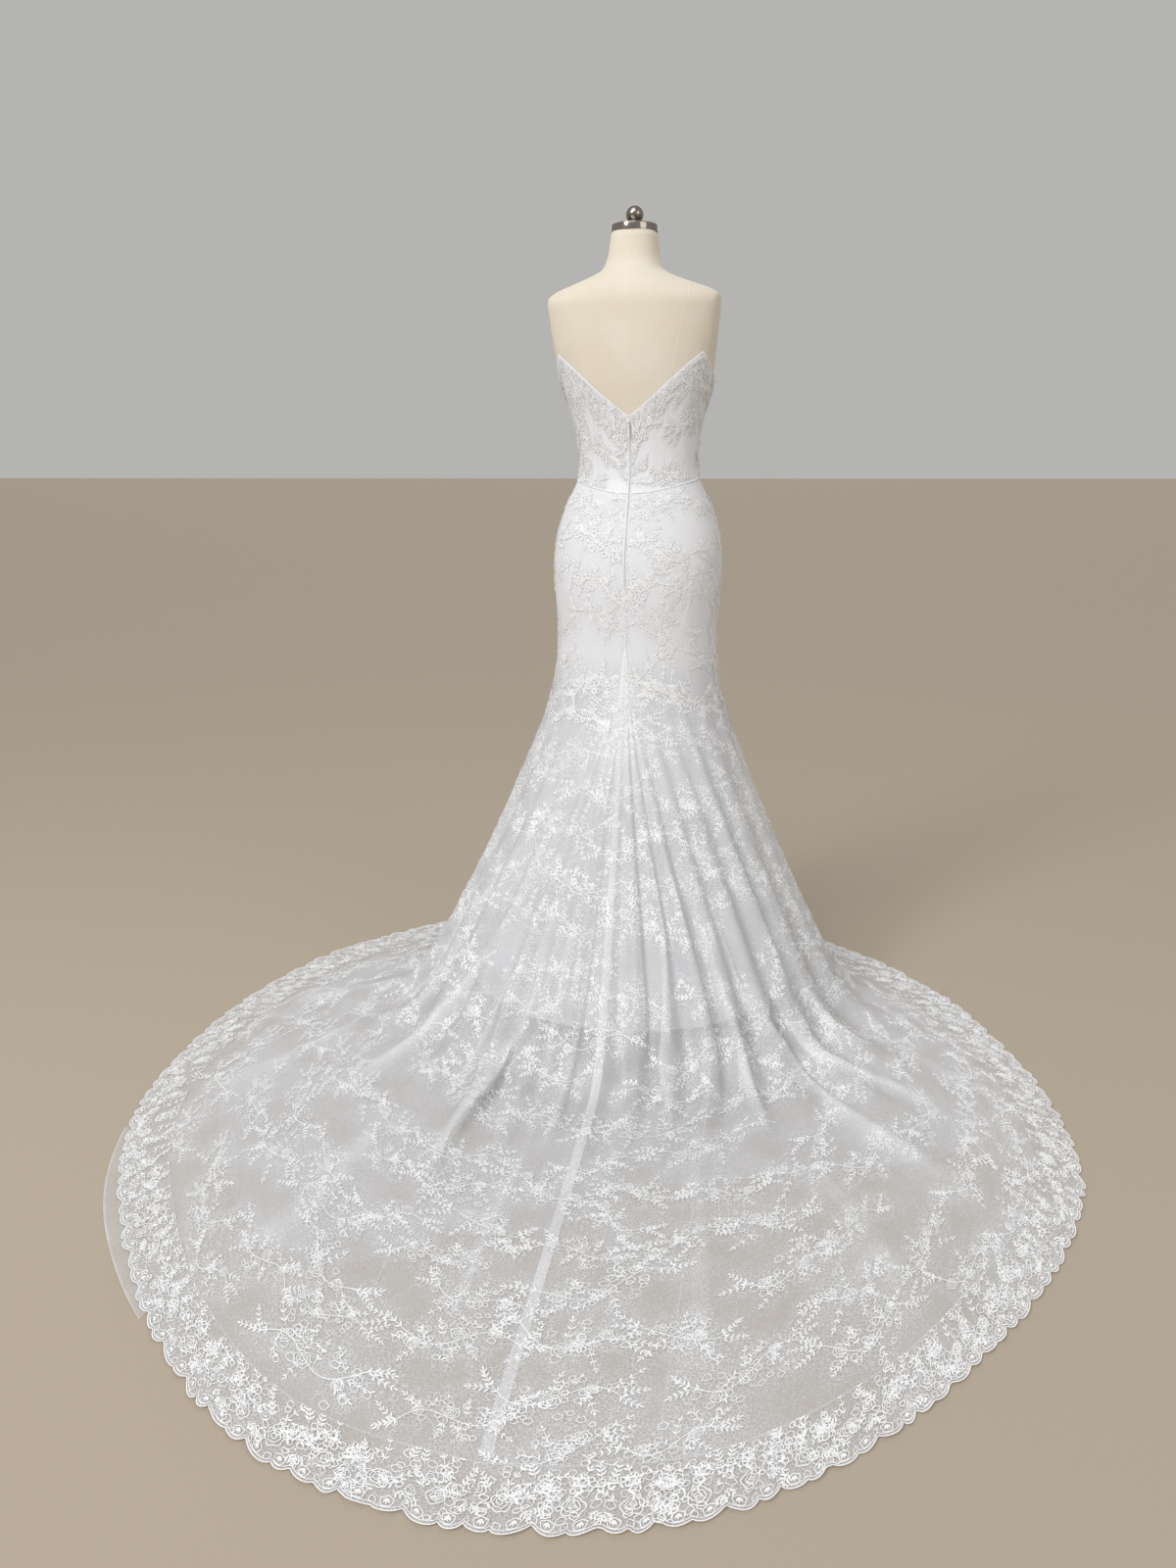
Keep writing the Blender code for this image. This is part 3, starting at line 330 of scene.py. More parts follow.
def crease_relief(creases: Iterable[Crease], down: Array, turn: Array) -> Parts:
    """The height that all creases add to the cloth, and how strongly it is creased.

    Args:
        creases: The creases to sum.
        down: Row, or height on the body.
        turn: Gore, or turn on the body.

    Returns:
        Height, and a mark from 0 to 1.
    """
    height, mark = np.zeros(np.shape(down)), np.zeros(np.shape(down))
    for crease in creases:
        strength = crease.mark(down, turn)
        height += strength * crease.height
        mark = np.maximum(mark, strength * min(1.0, abs(crease.height) / 0.01))
    return height, mark


# ---- the gown's surfaces
class GownShape:
    """The surface that the cloth follows; every argument may be an array."""

    def section_radius(self, turn: Array, half_breadth: Array, back: Array, front: Array) -> Array:
        """How far out a rounded section is: |x/a|^n + |y/b|^n = 1, b being the back or front depth.

        Args:
            turn: Turns round it.
            half_breadth: Its a.
            back: Its b behind.
            front: Its b in front.

        Returns:
            Distances from its middle.
        """
        a, n = np.radians(turn), SQUARENESS
        depth = np.where(np.cos(a) > 0, back, front)
        return (np.abs(np.sin(a) / half_breadth) ** n + np.abs(np.cos(a) / depth) ** n) ** (-1 / n)

    def bust(self, turn: Array, height: Array) -> Array:
        """The two cups: a height times e^-(aside^2 + above^2) from each cup's middle."""
        aside = (180.0 - np.abs(folded_turn(turn)) - CUP_ASIDE) / CUP_SPREAD
        return CUP_RISE * np.exp(-aside ** 2 - ((height - CUP_HEIGHT) / CUP_TALL) ** 2)

    def body_radius(self, turn: Array, height: Array) -> Array:
        """The section's radius plus the bust."""
        sizes = (smooth_table(BODY_SECTIONS, k, height) for k in (1, 2, 3))
        return self.section_radius(turn, *sizes) + self.bust(turn, height)

    def lean(self, height: Array | float) -> Array:
        """Where the body's middle lies in plan at a height."""
        return np.stack([smooth_table(LEAN, k, height) for k in (1, 2)], -1)

    def worn(self, turn: Array, height: Array, out: float = WORN_GAP) -> Array:
        """A point on the body: the lean plus the plan direction times the radius.

        Args:
            turn: Turns round it.
            height: Heights.
            out: How far outside it.

        Returns:
            Points with x, y, z in the last axis.
        """
        turn, height = np.broadcast_arrays(np.asarray(turn, float), np.asarray(height, float))
        plan = plan_direction(turn) * (self.body_radius(turn, height) + out)[..., None] + self.lean(height)
        return np.concatenate((plan, height[..., None]), -1)

    def worn_normal(self, turn: Array, height: Array) -> Array:
        """The body surface's outward normal."""
        return -surface_normal(self.worn, turn, height)

    def waist_height(self, turn: Array) -> Array:
        """The waist seam: the side's height, less a dip that grows with |cos turn|^1.5."""
        middle = np.cos(np.radians(turn))
        return WAIST_SIDE + (np.where(middle > 0, WAIST_BACK, WAIST_FRONT) - WAIST_SIDE) * np.abs(middle) ** 1.5

    def neckline_height(self, turn: Array) -> Array:
        """The top edge: up from the back V to a sharp peak, down to the underarm, over the cup, down in front.

        The V's height grows with the distance aside to the power of its sag.

        Args:
            turn: Angle round the body.

        Returns:
            Height above the floor.
        """
        away = np.abs(folded_turn(turn))
        aside = [np.sin(np.radians(t)) * self.section_radius(t, *NECK_SECTION) for t in (away, PEAK_TURN)]
        back = NECK_BACK + (NECK_PEAK - NECK_BACK) * (aside[0] / aside[1]) ** NECK_SAG
        side = 1 - np.clip((UNDERARM_TURN - away) / (UNDERARM_TURN - PEAK_TURN), 0.0, 1.0) ** 1.7
        rise = smooth_step((away - UNDERARM_TURN) / (CUP_TURN - UNDERARM_TURN))
        fall = smooth_step((away - CUP_TURN) / (180.0 - CUP_TURN)) ** 0.8
        return np.select((away <= PEAK_TURN, away <= UNDERARM_TURN, away <= CUP_TURN),
                         (back, NECK_PEAK + (NECK_UNDERARM - NECK_PEAK) * side,
                          NECK_UNDERARM + (NECK_CUP - NECK_UNDERARM) * rise),
                         NECK_CUP + (NECK_FRONT - NECK_CUP) * fall)

    def hem_radius(self, turn: Array) -> Array:
        """Plan outline of the hem, swung towards the wearer's right behind.

        Args:
            turn: Turns round the pole.

        Returns:
            Distances from it.
        """
        turn = folded_turn(turn)
        swing = TRAIN_SWING * (1 - smooth_step((np.abs(turn) - 50.0) / 40.0))
        return smooth_table(HEM, 1, np.abs(folded_turn(turn - swing)))

    def ring_turn(self, gore: Array, middle: float) -> Array:
        """Where gore lines cross a ring: the godet's lines crowd together at the back.

        Args:
            gore: Gore lines.
            middle: The turn of the godet's sides there.

        Returns:
            Their turns.
        """
        away = np.abs(gore)
        turns = np.interp(away, (0.0, GODET_TURN, SIDE_TURN), (0.0, middle, SIDE_TURN))
        return np.sign(gore) * np.where(away <= SIDE_TURN, turns, away)

    def upper_place(self, gore: Array, row: Array) -> Parts:
        """Places between the waist seam, row -1, and the flare ring, row 0.

        Args:
            gore: Gore lines.
            row: Rows on them.

        Returns:
            Turns and heights.
        """
        waist = self.ring_turn(gore, 0.0)
        turn = waist + (self.ring_turn(gore, GODET_TOP_TURN) - waist) * np.clip(1 + row / GODET_RISE, 0.0, 1.0)
        return turn, FLARE_TOP + (self.waist_height(turn) - FLARE_TOP) * -row

    def gore_frame(self, gore: Array) -> tuple[Array, Array, Array, Array, Array]:
        """How each gore line runs in plan.

        Args:
            gore: Gore lines.

        Returns:
            Starts, directions to the landing and past it, and lengths there.
        """
        start = self.worn(self.ring_turn(gore, GODET_TOP_TURN), np.full(np.shape(gore), FLARE_TOP))[..., :2]
        away = np.abs(gore)
        swing = TRAIN_SWING * (1 - smooth_step(away / SIDE_TURN))
        landing = plan_direction(gore + swing) * smooth_table(GORES, 1, away)[..., None]
        hem_turn = np.sign(gore) * smooth_table(GORES, 2, away) + swing
        end = plan_direction(hem_turn) * self.hem_radius(hem_turn)[..., None]
        sides = (landing - start, end - landing)
        return start, *(unit(side) for side in sides), *(np.linalg.norm(side, axis=-1) for side in sides)

    def fold_height(self, gore: Array, down: Array, past: Array) -> Array:
        """The folds: (1 + cos)/2 ridges that grow down the skirt and die away on the floor.

        Args:
            gore: Gore lines.
            down: Share of the way to the floor.
            past: Distance past the landing.

        Returns:
            Height above the smooth skirt.
        """
        phase = np.interp(gore, FOLDS[:, 0], np.arange(len(FOLDS)))
        ridge = (0.5 + 0.5 * np.cos(math.tau * phase)) ** 1.2
        grown = smooth_step(down / FOLD_GROWN) * (0.50 + 0.50 * smooth_step((down - 0.55) / 0.40))
        height, reach = (smooth_table(FOLDS, k, gore) for k in (1, 2))
        return height * ridge * grown * (1 - smooth_step(past / reach)) ** 1.3

    def lower(self, gore: Array, row: Array, narrowed: float = 1.0, folded: float = 1.0) -> Array:
        """The flare and train: a steep drop that eases into a slope, a round landing, then the floor.

        Args:
            gore: Gore line.
            row: 0 at the flare ring, 1 at the landing, 2 at the hem.
            narrowed: Share of the plan reach, below 1 for a layer inside.
            folded: Share of the folds' height.

        Returns:
            Points with x, y, z in the last axis.
        """
        start, first, second, reach, beyond = self.gore_frame(gore)
        reach = reach * narrowed
        down, out = np.clip(row, 0.0, 1.0), np.maximum(row - 1.0, 0.0)
        run = reach * down ** FLARE_CROWDING + beyond * out
        turned = soft_ramp(run - reach, FLOOR_EASE)
        plan = start + first * (run - turned)[..., None] + second * turned[..., None]
        slope = (FLARE_TOP - FLARE_DROP) / reach
        straight = slope * (soft_ramp(reach - run, FLOOR_EASE) - soft_ramp(-beyond, FLOOR_EASE))
        steep = FLARE_DROP * np.exp(-run / FLARE_EASE)
        height = np.maximum(straight + steep - FLOOR_SINK * smooth_step(down), 0.0)
        lying = 1 / (1 + np.exp((reach - run) / FLOOR_EASE))
        fall = slope * (1 - lying)
        upright = 1 / np.sqrt(1 + fall ** 2)
        fold = folded * self.fold_height(gore, down, np.maximum(run - reach, 0.0))
        plan = plan + unit(mix(first, second, lying)) * (fold * fall * upright)[..., None]
        return np.concatenate((plan, (height + fold * upright)[..., None]), -1)

    def skirt(self, gore: Array, row: Array) -> Array:
        """The whole skirt: the body's surface above the flare ring and the flare below it.

        Args:
            gore: Gore lines.
            row: Rows on them.

        Returns:
            Points with x, y, z in the last axis.
        """
        gore, row = np.broadcast_arrays(folded_turn(gore), np.asarray(row, float))
        upper = self.worn(*self.upper_place(gore, np.minimum(row, 0.0)))
        return np.where((row >= 0)[..., None], self.lower(gore, np.maximum(row, 0.0)), upper)

    def skirt_normal(self, gore: Array, row: Array) -> Array:
        """The skirt's outward normal, taken from the body above the flare ring.

        Args:
            gore: Gore lines.
            row: Rows on them.

        Returns:
            Vectors of length 1.
        """
        gore = folded_turn(gore)
        upper = self.worn_normal(*self.upper_place(gore, np.minimum(row, 0.0)))
        return unit(mix(upper, surface_normal(self.skirt, gore, np.maximum(row, 2e-3)), smooth_step(row / 0.02)))

    def skirt_relief(self, gore: Array, row: Array) -> Parts:
        """Height and mark of the creases.

        Args:
            gore: Gore, which places those below the flare ring.
            row: Row, whose place on the body finds those above it.

        Returns:
            Height, and a mark from 0 to 1.
        """
        gore = folded_turn(gore)
        low = [part * smooth_step((row - 0.35) / 0.85) for part in
               crease_relief(TRAIN_CREASES, np.maximum(row, 0.0), gore)]
        turn, height = self.upper_place(gore, np.minimum(row, 0.0))
        high, _ = crease_relief(BODY_CREASES, height, turn)
        return np.where(row >= 0, low[0], high), np.where(row >= 0, low[1], 0.0)

    def hem_row(self, gore: Array, back_from_hem: Array | float) -> Array:
        """The rows at a distance along the floor inside the hem's outline.

        Args:
            gore: Gore lines.
            back_from_hem: The distance.

        Returns:
            Rows.
        """
        *_, reach, beyond = self.gore_frame(folded_turn(gore))
        run = reach + beyond - back_from_hem
        hanging = (np.minimum(run, reach) / reach) ** (1 / FLARE_CROWDING)
        return np.where(run > reach, 1 + (run - reach) / beyond, hanging)

    def panel_row(self, gore: Array, share: Array) -> Array:
        """The row at a panel's share: -1 at 0, 0 at 1, the landing at 2 and the border at 3.

        Args:
            gore: Gore lines.
            share: Shares down the panel.

        Returns:
            Rows.
        """
        end = self.hem_row(gore, HEM_LACE)
        landing = np.minimum(1.0, FRONT_LANDING * end)
        lower = np.where(share <= 2, landing * (share - 1), landing + (end - landing) * (share - 2))
        return np.where(share < 1, share - 1, lower)


SHAPE = GownShape()


# ---- meshes
def new_mesh(name: str, points: Array, faces: Sequence[Array], marks: Marks | None = None) -> bpy.types.Mesh:
    """A smooth mesh from whole arrays.

    Args:
        name: Its name.
        points: Points with x, y, z in the last axis.
        faces: Arrays of point numbers, a row for each face.
        marks: Attributes from 0 to 1, for all points or each.

    Returns:
        The new mesh.
    """
    mesh = bpy.data.meshes.new(name)
    flat = np.ascontiguousarray(points.reshape(-1, 3), np.float32)
    mesh.vertices.add(len(flat))
    mesh.vertices.foreach_set("co", flat.ravel())
    sizes = np.concatenate([np.full(len(f), f.shape[1]) for f in faces])
    loops = np.concatenate([f.ravel() for f in faces])
    mesh.loops.add(len(loops))
    mesh.loops.foreach_set("vertex_index", loops.astype(np.int32))
    mesh.polygons.add(len(sizes))
    mesh.polygons.foreach_set("loop_start", (np.cumsum(sizes) - sizes).astype(np.int32))
    for key, values in (marks or {}).items():
        layer = mesh.attributes.new(key, "FLOAT", "POINT")
        full = np.broadcast_to(values, points.shape[:-1]).ravel()
        layer.data.foreach_set("value", np.ascontiguousarray(full, np.float32))
    mesh.update(calc_edges=True)
    mesh.shade_smooth()
    return mesh


def add_piece(name: str, points: Array, finish: Material, replaces: Sequence[str] = (),
              faces: Sequence[Array] = (), marks: Marks | None = None) -> None:
    """A shown piece that rides on the dress.

    Args:
        name: Its name.
        points: Its points, by row and column for a grid.
        finish: Its material.
        replaces: The CAD nodes that it stands for.
        faces: Arrays of its faces, where it isn't a grid.
        marks: Attributes from 0 to 1, for all points or each.
    """
    mesh = new_mesh(name, points, faces or [grid_quads(*points.shape[:2])], marks)
    mesh.materials.append(finish)
    made = PIECES[name] = bpy.data.objects.new(name, mesh)
    bpy.context.scene.collection.objects.link(made)
    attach(made, BODY)
    if replaces:
        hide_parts(*replaces)
    areas = np.empty(len(mesh.polygons), np.float32)
    mesh.polygons.foreach_get("area", areas)
    LOG.info("%s: %d faces, %.4f square metres", name, len(areas), areas.sum())


def grid_quads(rows: int, columns: int, closed: bool = False) -> Array:
    """The quads of a grid of points whose rows run down, facing out.

    Args:
        rows: Number of rows.
        columns: Points in a row.
        closed: Whether the last column joins the first.

    Returns:
        Four point numbers for each quad.
    """
    n = np.arange(rows * columns).reshape(rows, columns)
    ahead = np.roll(n, -1, 1) if closed else n[:, 1:]
    here = n if closed else n[:, :-1]
    return np.stack((here[:-1], ahead[:-1], ahead[1:], here[1:]), -1).reshape(-1, 4)


def thin_wall(inner: Array, outer: Array) -> Parts:
    """A closed wall between two grids.

    Args:
        inner: One grid of points.
        outer: The one that faces out.

    Returns:
        Points and quads.
    """
    rows, columns = inner.shape[:2]
    count = rows * columns
    n = np.arange(count).reshape(rows, columns)
    rim = np.concatenate((n[0, :-1], n[:-1, -1], n[-1, :0:-1], n[:0:-1, 0]))
    ahead = np.roll(rim, -1)
    rims = np.stack((rim, ahead, ahead + count, rim + count), -1)
    quads = grid_quads(rows, columns)
    return (np.concatenate((inner.reshape(-1, 3), outer.reshape(-1, 3))),
            np.concatenate((quads[:, ::-1], quads + count, rims)))


def blurred(values: Array, times: int) -> Array:
    """A grid's values, each replaced by a quarter, half, quarter mean both ways.

    Args:
        values: The grid.
        times: How often.

    Returns:
        The softer grid.
    """
    for axis in (0, 1) * times:
        n = values.shape[axis]
        pad = values.take([0, *range(n), n - 1], axis)
        values = (pad.take(range(n), axis) + 2 * values + pad.take(range(2, n + 2), axis)) / 4
    return values


class ClothMap:
    """A grid of points over a cloth, which lays flat work in metres onto it.

    Across is measured along each row and down along each column, so the work keeps its size on the folds.
    """

    def __init__(self, points: Array, normals: Array) -> None:
        """Measures a grid of points.

        Args:
            points: Points by row and column.
            normals: The cloth's outward normals.
        """
        self.points, self.normals = points, normals
        step = np.linalg.norm(np.diff(points, axis=1), axis=-1)
        self.across = np.concatenate((np.zeros((len(points), 1)), np.cumsum(step, 1)), 1)
        step = np.linalg.norm(np.diff(points, axis=0), axis=-1)
        self.down = np.concatenate((np.zeros((1, points.shape[1])), np.cumsum(step, 0)), 0)
        self.worked = np.zeros(points.shape[:2])

    def sample(self, grid: Array, row: Array, column: Array) -> Array:
        """Values of a grid between its points: straight between the four around each place.

        Args:
            grid: Values by row and column.
            row: The places' rows.
            column: Their columns.

        Returns:
            The values there.
        """
        i = np.clip(row.astype(int), 0, grid.shape[0] - 2)
        j = np.clip(column.astype(int), 0, grid.shape[1] - 2)
        a, b = np.clip(row - i, 0, 1), np.clip(column - j, 0, 1)
        if grid.ndim == 3:
            a, b = a[:, None], b[:, None]
        top = grid[i, j] * (1 - b) + grid[i, j + 1] * b
        low = grid[i + 1, j] * (1 - b) + grid[i + 1, j + 1] * b
        return top * (1 - a) + low * a

    def place(self, anchor: Pair, x: Array, y: Array) -> tuple[Array, Array, Array]:
        """Rows and columns of flat points round an anchor.

        Args:
            anchor: Row and column in the grid.
            x: Distances across.
            y: Distances down.

        Returns:
            Rows, columns, and which lie within the grid.
        """
        rows, columns = self.points.shape[:2]
        row, column = anchor
        line = self.down[:, round(column)]
        target = np.interp(row, np.arange(rows), line) + y
        inside = (target > line[0]) & (target < line[-1])
        found_row = np.interp(target, line, np.arange(rows))
        found = np.zeros(len(x))
        upper = np.clip(found_row.astype(int), 0, rows - 2)
        share = found_row - upper
        numbers = np.arange(columns)
        for i in np.unique(upper):
            here = upper == i
            ends = []
            for reach in self.across[i:i + 2]:
                goal = np.interp(column, numbers, reach) + x[here]
                ends.append(np.interp(goal, reach, numbers))
                inside[here] &= (goal > reach[0]) & (goal < reach[-1])
            found[here] = ends[0] * (1 - share[here]) + ends[1] * share[here]
        return found_row, found, inside

    def on(self, rows: Array, columns: Array) -> Parts:
        """Points and normals of the cloth between its grid's points."""
        return self.sample(self.points, rows, columns), unit(self.sample(self.normals, rows, columns))

    def lay(self, anchor: Pair, work: Array) -> Parts:
        """Carries flat work onto the cloth, and counts its points there.

        Args:
            anchor: Row and column in the grid.
            work: Points as x across, y down and height above the cloth.

        Returns:
            Their places, and which of them lie on the cloth.
        """
        rows, columns, inside = self.place(anchor, work[:, 0], work[:, 1])
        at, normal = self.on(rows, columns)
        i, j = (np.clip(np.round(place).astype(int), 0, size - 1)[inside]
                for place, size in zip((rows, columns), self.worked.shape))
        np.add.at(self.worked, (i, j), 1.0)
        return at + normal * work[:, 2:], inside

    def density(self, full: float) -> Array:
        """How thickly each grid point is worked.

        Args:
            full: Points of work in a square metre that count as 1.

        Returns:
            Values from 0 to 1.
        """
        size = np.gradient(self.across, axis=1) * np.gradient(self.down, axis=0)
        share = blurred(self.worked, 2) / blurred(np.maximum(size, 1e-7), 2) / full
        return smooth_step((share - 0.1) / 0.6)


# ---- lace drawn flat, as leaves and cords
@dataclass
class Gathered:
    """Points and faces gathered bit by bit."""

    points: list[Array] = field(default_factory=list)
    faces: list[Array] = field(default_factory=list)
    count: int = 0

    def gather(self, points: Array, faces: Array) -> None:
        """Adds points and the faces over them.

        Args:
            points: The points.
            faces: Their numbers, counted from the first of them.
        """
        self.points.append(points)
        self.faces.append(faces + self.count)
        self.count += len(points)

    def joined(self) -> Parts:
        """All points and faces as two arrays."""
        return np.concatenate(self.points), np.concatenate(self.faces)


@dataclass
class FlatWork(Gathered):
    """Lace work drawn flat: triangles over points as x, y and height above the cloth. Angles are in radians."""

    bold: float = 1.0

    def add(self, points: Array, faces: Array) -> None:
        """Adds one element, each at a slightly different height."""
        points[:, 2] += 0.0005 * (len(self.points) * 0.618 % 1.0)
        self.gather(points, faces)

    def leaf(self, at: Pair, heading: float, length: float, width: float) -> None:
        """A pointed leaf: six triangles from a raised middle to a base, two widths and a tip.

        Args:
            at: Its base.
            heading: Its direction, 0 along x.
            length: From base to tip.
            width: The widest width.
        """
        t, s = LEAF_ALONG * length, LEAF_ASIDE * width
        c, d = math.cos(heading), math.sin(heading)
        self.add(np.column_stack((at[0] + t * c - s * d, at[1] + t * d + s * c, LEAF_HEIGHT)), LEAF_FACES)

    def cord(self, path: Array, width: float, closed: bool = False) -> None:
        """A flat cord: two triangles for each step between its two edges.

        Args:
            path: Points as x and y.
            width: Its width before it is made bolder.
            closed: Whether the end joins the start.
        """
        if closed:
            path = np.concatenate((path, path[:1]))
            tangent = np.gradient(np.concatenate((path[-2:-1], path, path[1:2])), axis=0)[1:-1]
        else:
            tangent = np.gradient(path, axis=0)
        side = unit(np.stack((-tangent[:, 1], tangent[:, 0]), -1)) * width * self.bold / 2
        n = len(path)
        points = np.column_stack((np.concatenate((path - side, path + side)), np.full(2 * n, CORD_RISE)))
        k = np.arange(n - 1)
        self.add(points, np.concatenate((np.stack((k, k + 1, k + n), -1), np.stack((k + 1, k + 1 + n, k + n), -1))))

    def ring(self, at: Pair, radius: float, petals: int, turned: float, width: float, squash: float = 1.0,
             steps: int = 18) -> None:
        """A closed scalloped cord: radius times 0.8 + 0.2 |sin(petals angle / 2)|.

        Args:
            at: The middle.
            radius: Greatest radius.
            petals: Number of lobes.
            turned: Angle of the first notch.
            width: The cord's width.
            squash: Height as a share of width.
            steps: Points round it.
        """
        a = np.linspace(0, math.tau, steps, endpoint=False)
        r = radius * (0.80 + 0.20 * np.abs(np.sin(petals * a / 2)))
        path = np.stack((at[0] + r * np.cos(a + turned), at[1] + squash * r * np.sin(a + turned)), -1)
        self.cord(path, width, closed=True)

    def sprig(self, at: Pair, heading: float, length: float, pairs: int, leaf: float, bend: float) -> None:
        """A bent stem with pairs of leaves that shrink to its tip, and one at the end.

        Args:
            at: Where it starts.
            heading: Its first direction.
            length: Its length.
            pairs: Pairs of leaves.
            leaf: Length of the longest leaf.
            bend: How far it turns along its length.
        """
        t = np.linspace(0, 1, 6)
        turn = heading + bend * t
        step = np.stack((np.cos(turn), np.sin(turn)), -1) * length / 5
        path = np.array(at) + np.concatenate((np.zeros((1, 2)), np.cumsum(step[:-1], 0)))
        self.cord(path, 0.0010)
        for share in 0.22 + 0.70 * np.arange(pairs) / max(1, pairs - 1):
            along = [np.interp(share, t, path[:, axis]) for axis in (0, 1)]
            way, size = heading + bend * share, leaf * (1 - 0.30 * share)
            for side in (-0.80, 0.80):
                self.leaf(along, way + side, size, size * 0.34)
        self.leaf(path[-1], heading + bend, leaf * 0.85, leaf * 0.30)

    def rose(self, at: Pair, radius: float, rng: Draws) -> None:
        """An open rose: three scalloped rings inside each other.

        Args:
            at: The middle.
            radius: The outer ring's radius.
            rng: Draws its turn and petals.
        """
        turned, petals = rng.uniform(0, 6.28), rng.integers(5, 7)
        for share, width, steps in ((1.0, 0.0015, 18), (0.64, 0.0013, 13), (0.30, 0.0014, 8)):
            shift = radius * 0.12 * (1 - share)
            self.ring((at[0] + shift, at[1] - shift), radius * share, petals, turned + share, width, 0.9, steps)

    def loops(self, at: Pair, spread: Pair, count: int, rng: Draws) -> None:
        """Small open loops strewn round a place, closest together at its middle.

        Args:
            at: The middle.
            spread: Mean distance across and down.
            count: Number of loops.
            rng: Draws them.
        """
        for _ in range(count):
            middle = [a + rng.normal(0, b) for a, b in zip(at, spread)]
            self.ring(middle, rng.uniform(0.0042, 0.008), rng.integers(3, 6), rng.uniform(0, 6.28),
                      rng.uniform(0.0011, 0.0015), rng.uniform(0.7, 1.0), 10)

    def vine(self, at: Pair, heading: float, length: float, rng: Draws) -> None:
        """A wandering cord with small loops and leaves to both sides.

        Args:
            at: Where it starts.
            heading: Its first direction.
            length: Its length.
            rng: Draws how it wanders.
        """
        n = 9
        turn = heading + np.cumsum(rng.uniform(-0.55, 0.55, n))
        path = np.array(at) + np.cumsum(np.stack((np.cos(turn), np.sin(turn)), -1) * length / n, 0)
        self.cord(path, 0.0012)
        for k in range(1, n - 1, 2):
            side = 1 if k % 4 == 1 else -1
            a, r = turn[k] + side * 1.35, rng.uniform(0.0034, 0.0056)
            self.ring(path[k] + r * np.array((math.cos(a), math.sin(a))), r, 3, a, 0.0010, steps=9)
            self.leaf(path[k], turn[k] - side * 0.8, 0.0080, 0.0030)


# a leaf's places along it and aside, as shares of its length and width, and their heights in metres
LEAF_ALONG = np.array((0.45, 0.0, 0.34, 0.74, 1.0, 0.74, 0.34))
LEAF_ASIDE = np.array((0.0, 0.0, -0.5, -0.36, 0.0, 0.36, 0.5))
LEAF_HEIGHT = np.array((1.0, 0.3, 0.2, 0.2, 0.2, 0.2, 0.2)) * 0.0006
LEAF_FACES = np.array([(0, k, k % 6 + 1) for k in range(1, 7)])
CORD_RISE = THREAD_LIFT = 0.0004


class Spray(Enum):
    """The kinds of lace spray, each with how often its branch bows."""

    BRANCH = 0.9
    BOUQUET = 0.35
    GARLAND = -1.1


@dataclass(frozen=True)
class SprayDesign:
    """One spray: open roses and thin loops along a curved branch, with leafy sprigs at its edges."""

    kind: Spray
    width: float
    height: float
    roses: int
    loops: int
    sprigs: int
    vines: int

    def draw(self, rng: Draws, bold: float) -> Parts:
        """The spray round (0, 0), wider than tall.

        Args:
            rng: Draws the uneven sizes and directions.
            bold: How many times wider its cords are than fine ones.

        Returns:
            Points and triangles.
        """
        work = FlatWork(bold=bold)
        t = np.linspace(-0.5, 0.5, 16)
        wave = self.height * 0.22 * np.sin(math.tau * t * self.kind.value + rng.uniform(0, 1))
        branch = np.stack((self.width * 0.8 * t, wave), -1)
        work.cord(branch, 0.0014)

        def on_branch(place: float) -> list[float]:
            """A point on the branch."""
            return [np.interp(place, t, branch[:, axis]) for axis in (0, 1)]

        for k, place in enumerate(np.linspace(-0.3, 0.3, self.roses) + rng.uniform(-0.04, 0.04, self.roses)):
            px, py = on_branch(place)
            radius = rng.uniform(0.0095, 0.0135) * (1.15 if k == self.roses // 2 else 0.92)
            work.rose((px, py + rng.uniform(-0.012, 0.012)), radius, rng)
        for _ in range(3):
            work.loops(on_branch(rng.uniform(-0.34, 0.34)), (self.width * 0.11, self.height * 0.19),
                       self.loops // 3, rng)
        for k in range(self.vines):
            at = on_branch(rng.uniform(-0.4, 0.4))
            up = 1 if k % 2 else -1
            work.vine(at, up * rng.uniform(0.5, 2.6), self.height * rng.uniform(0.35, 0.6), rng)
        for k in range(self.sprigs):
            place = -0.46 + 0.92 * (k + 0.5) / self.sprigs + rng.uniform(-0.03, 0.03)
            px, py = on_branch(place)
            away = math.atan2(1.1 if k % 2 else -1.1, place * 5.0)
            start = self.height * rng.uniform(0.06, 0.16)
            work.sprig((px + start * math.cos(away), py + start * math.sin(away)), away,
                       self.height * rng.uniform(0.32, 0.48), 3, rng.uniform(0.0085, 0.011), rng.uniform(-0.5, 0.5))
        for end, way in ((-1, math.pi), (1, 0.0)):
            for fan in (-0.6, 0.15):
                work.sprig(on_branch(0.5 * end), way + fan + rng.uniform(-0.1, 0.1), rng.uniform(0.03, 0.042), 4, 0.01,
                           end * fan * 0.6)
        return work.joined()


def spray_library(rng: Draws, bold: float = 1.0) -> Library:
    """Sixteen sprays of three kinds.

    Args:
        rng: Draws them.
        bold: How many times wider their cords are than fine ones.

    Returns:
        Points and triangles of each.
    """
    designs = ((Spray.BRANCH, 0.19, 0.09, 3, 18, 5, 4), (Spray.BOUQUET, 0.13, 0.1, 3, 15, 5, 4),
               (Spray.GARLAND, 0.22, 0.08, 3, 21, 6, 5), (Spray.BRANCH, 0.15, 0.075, 2, 12, 5, 4))
    return [SprayDesign(*design).draw(rng, bold) for design in designs for _ in range(4)]


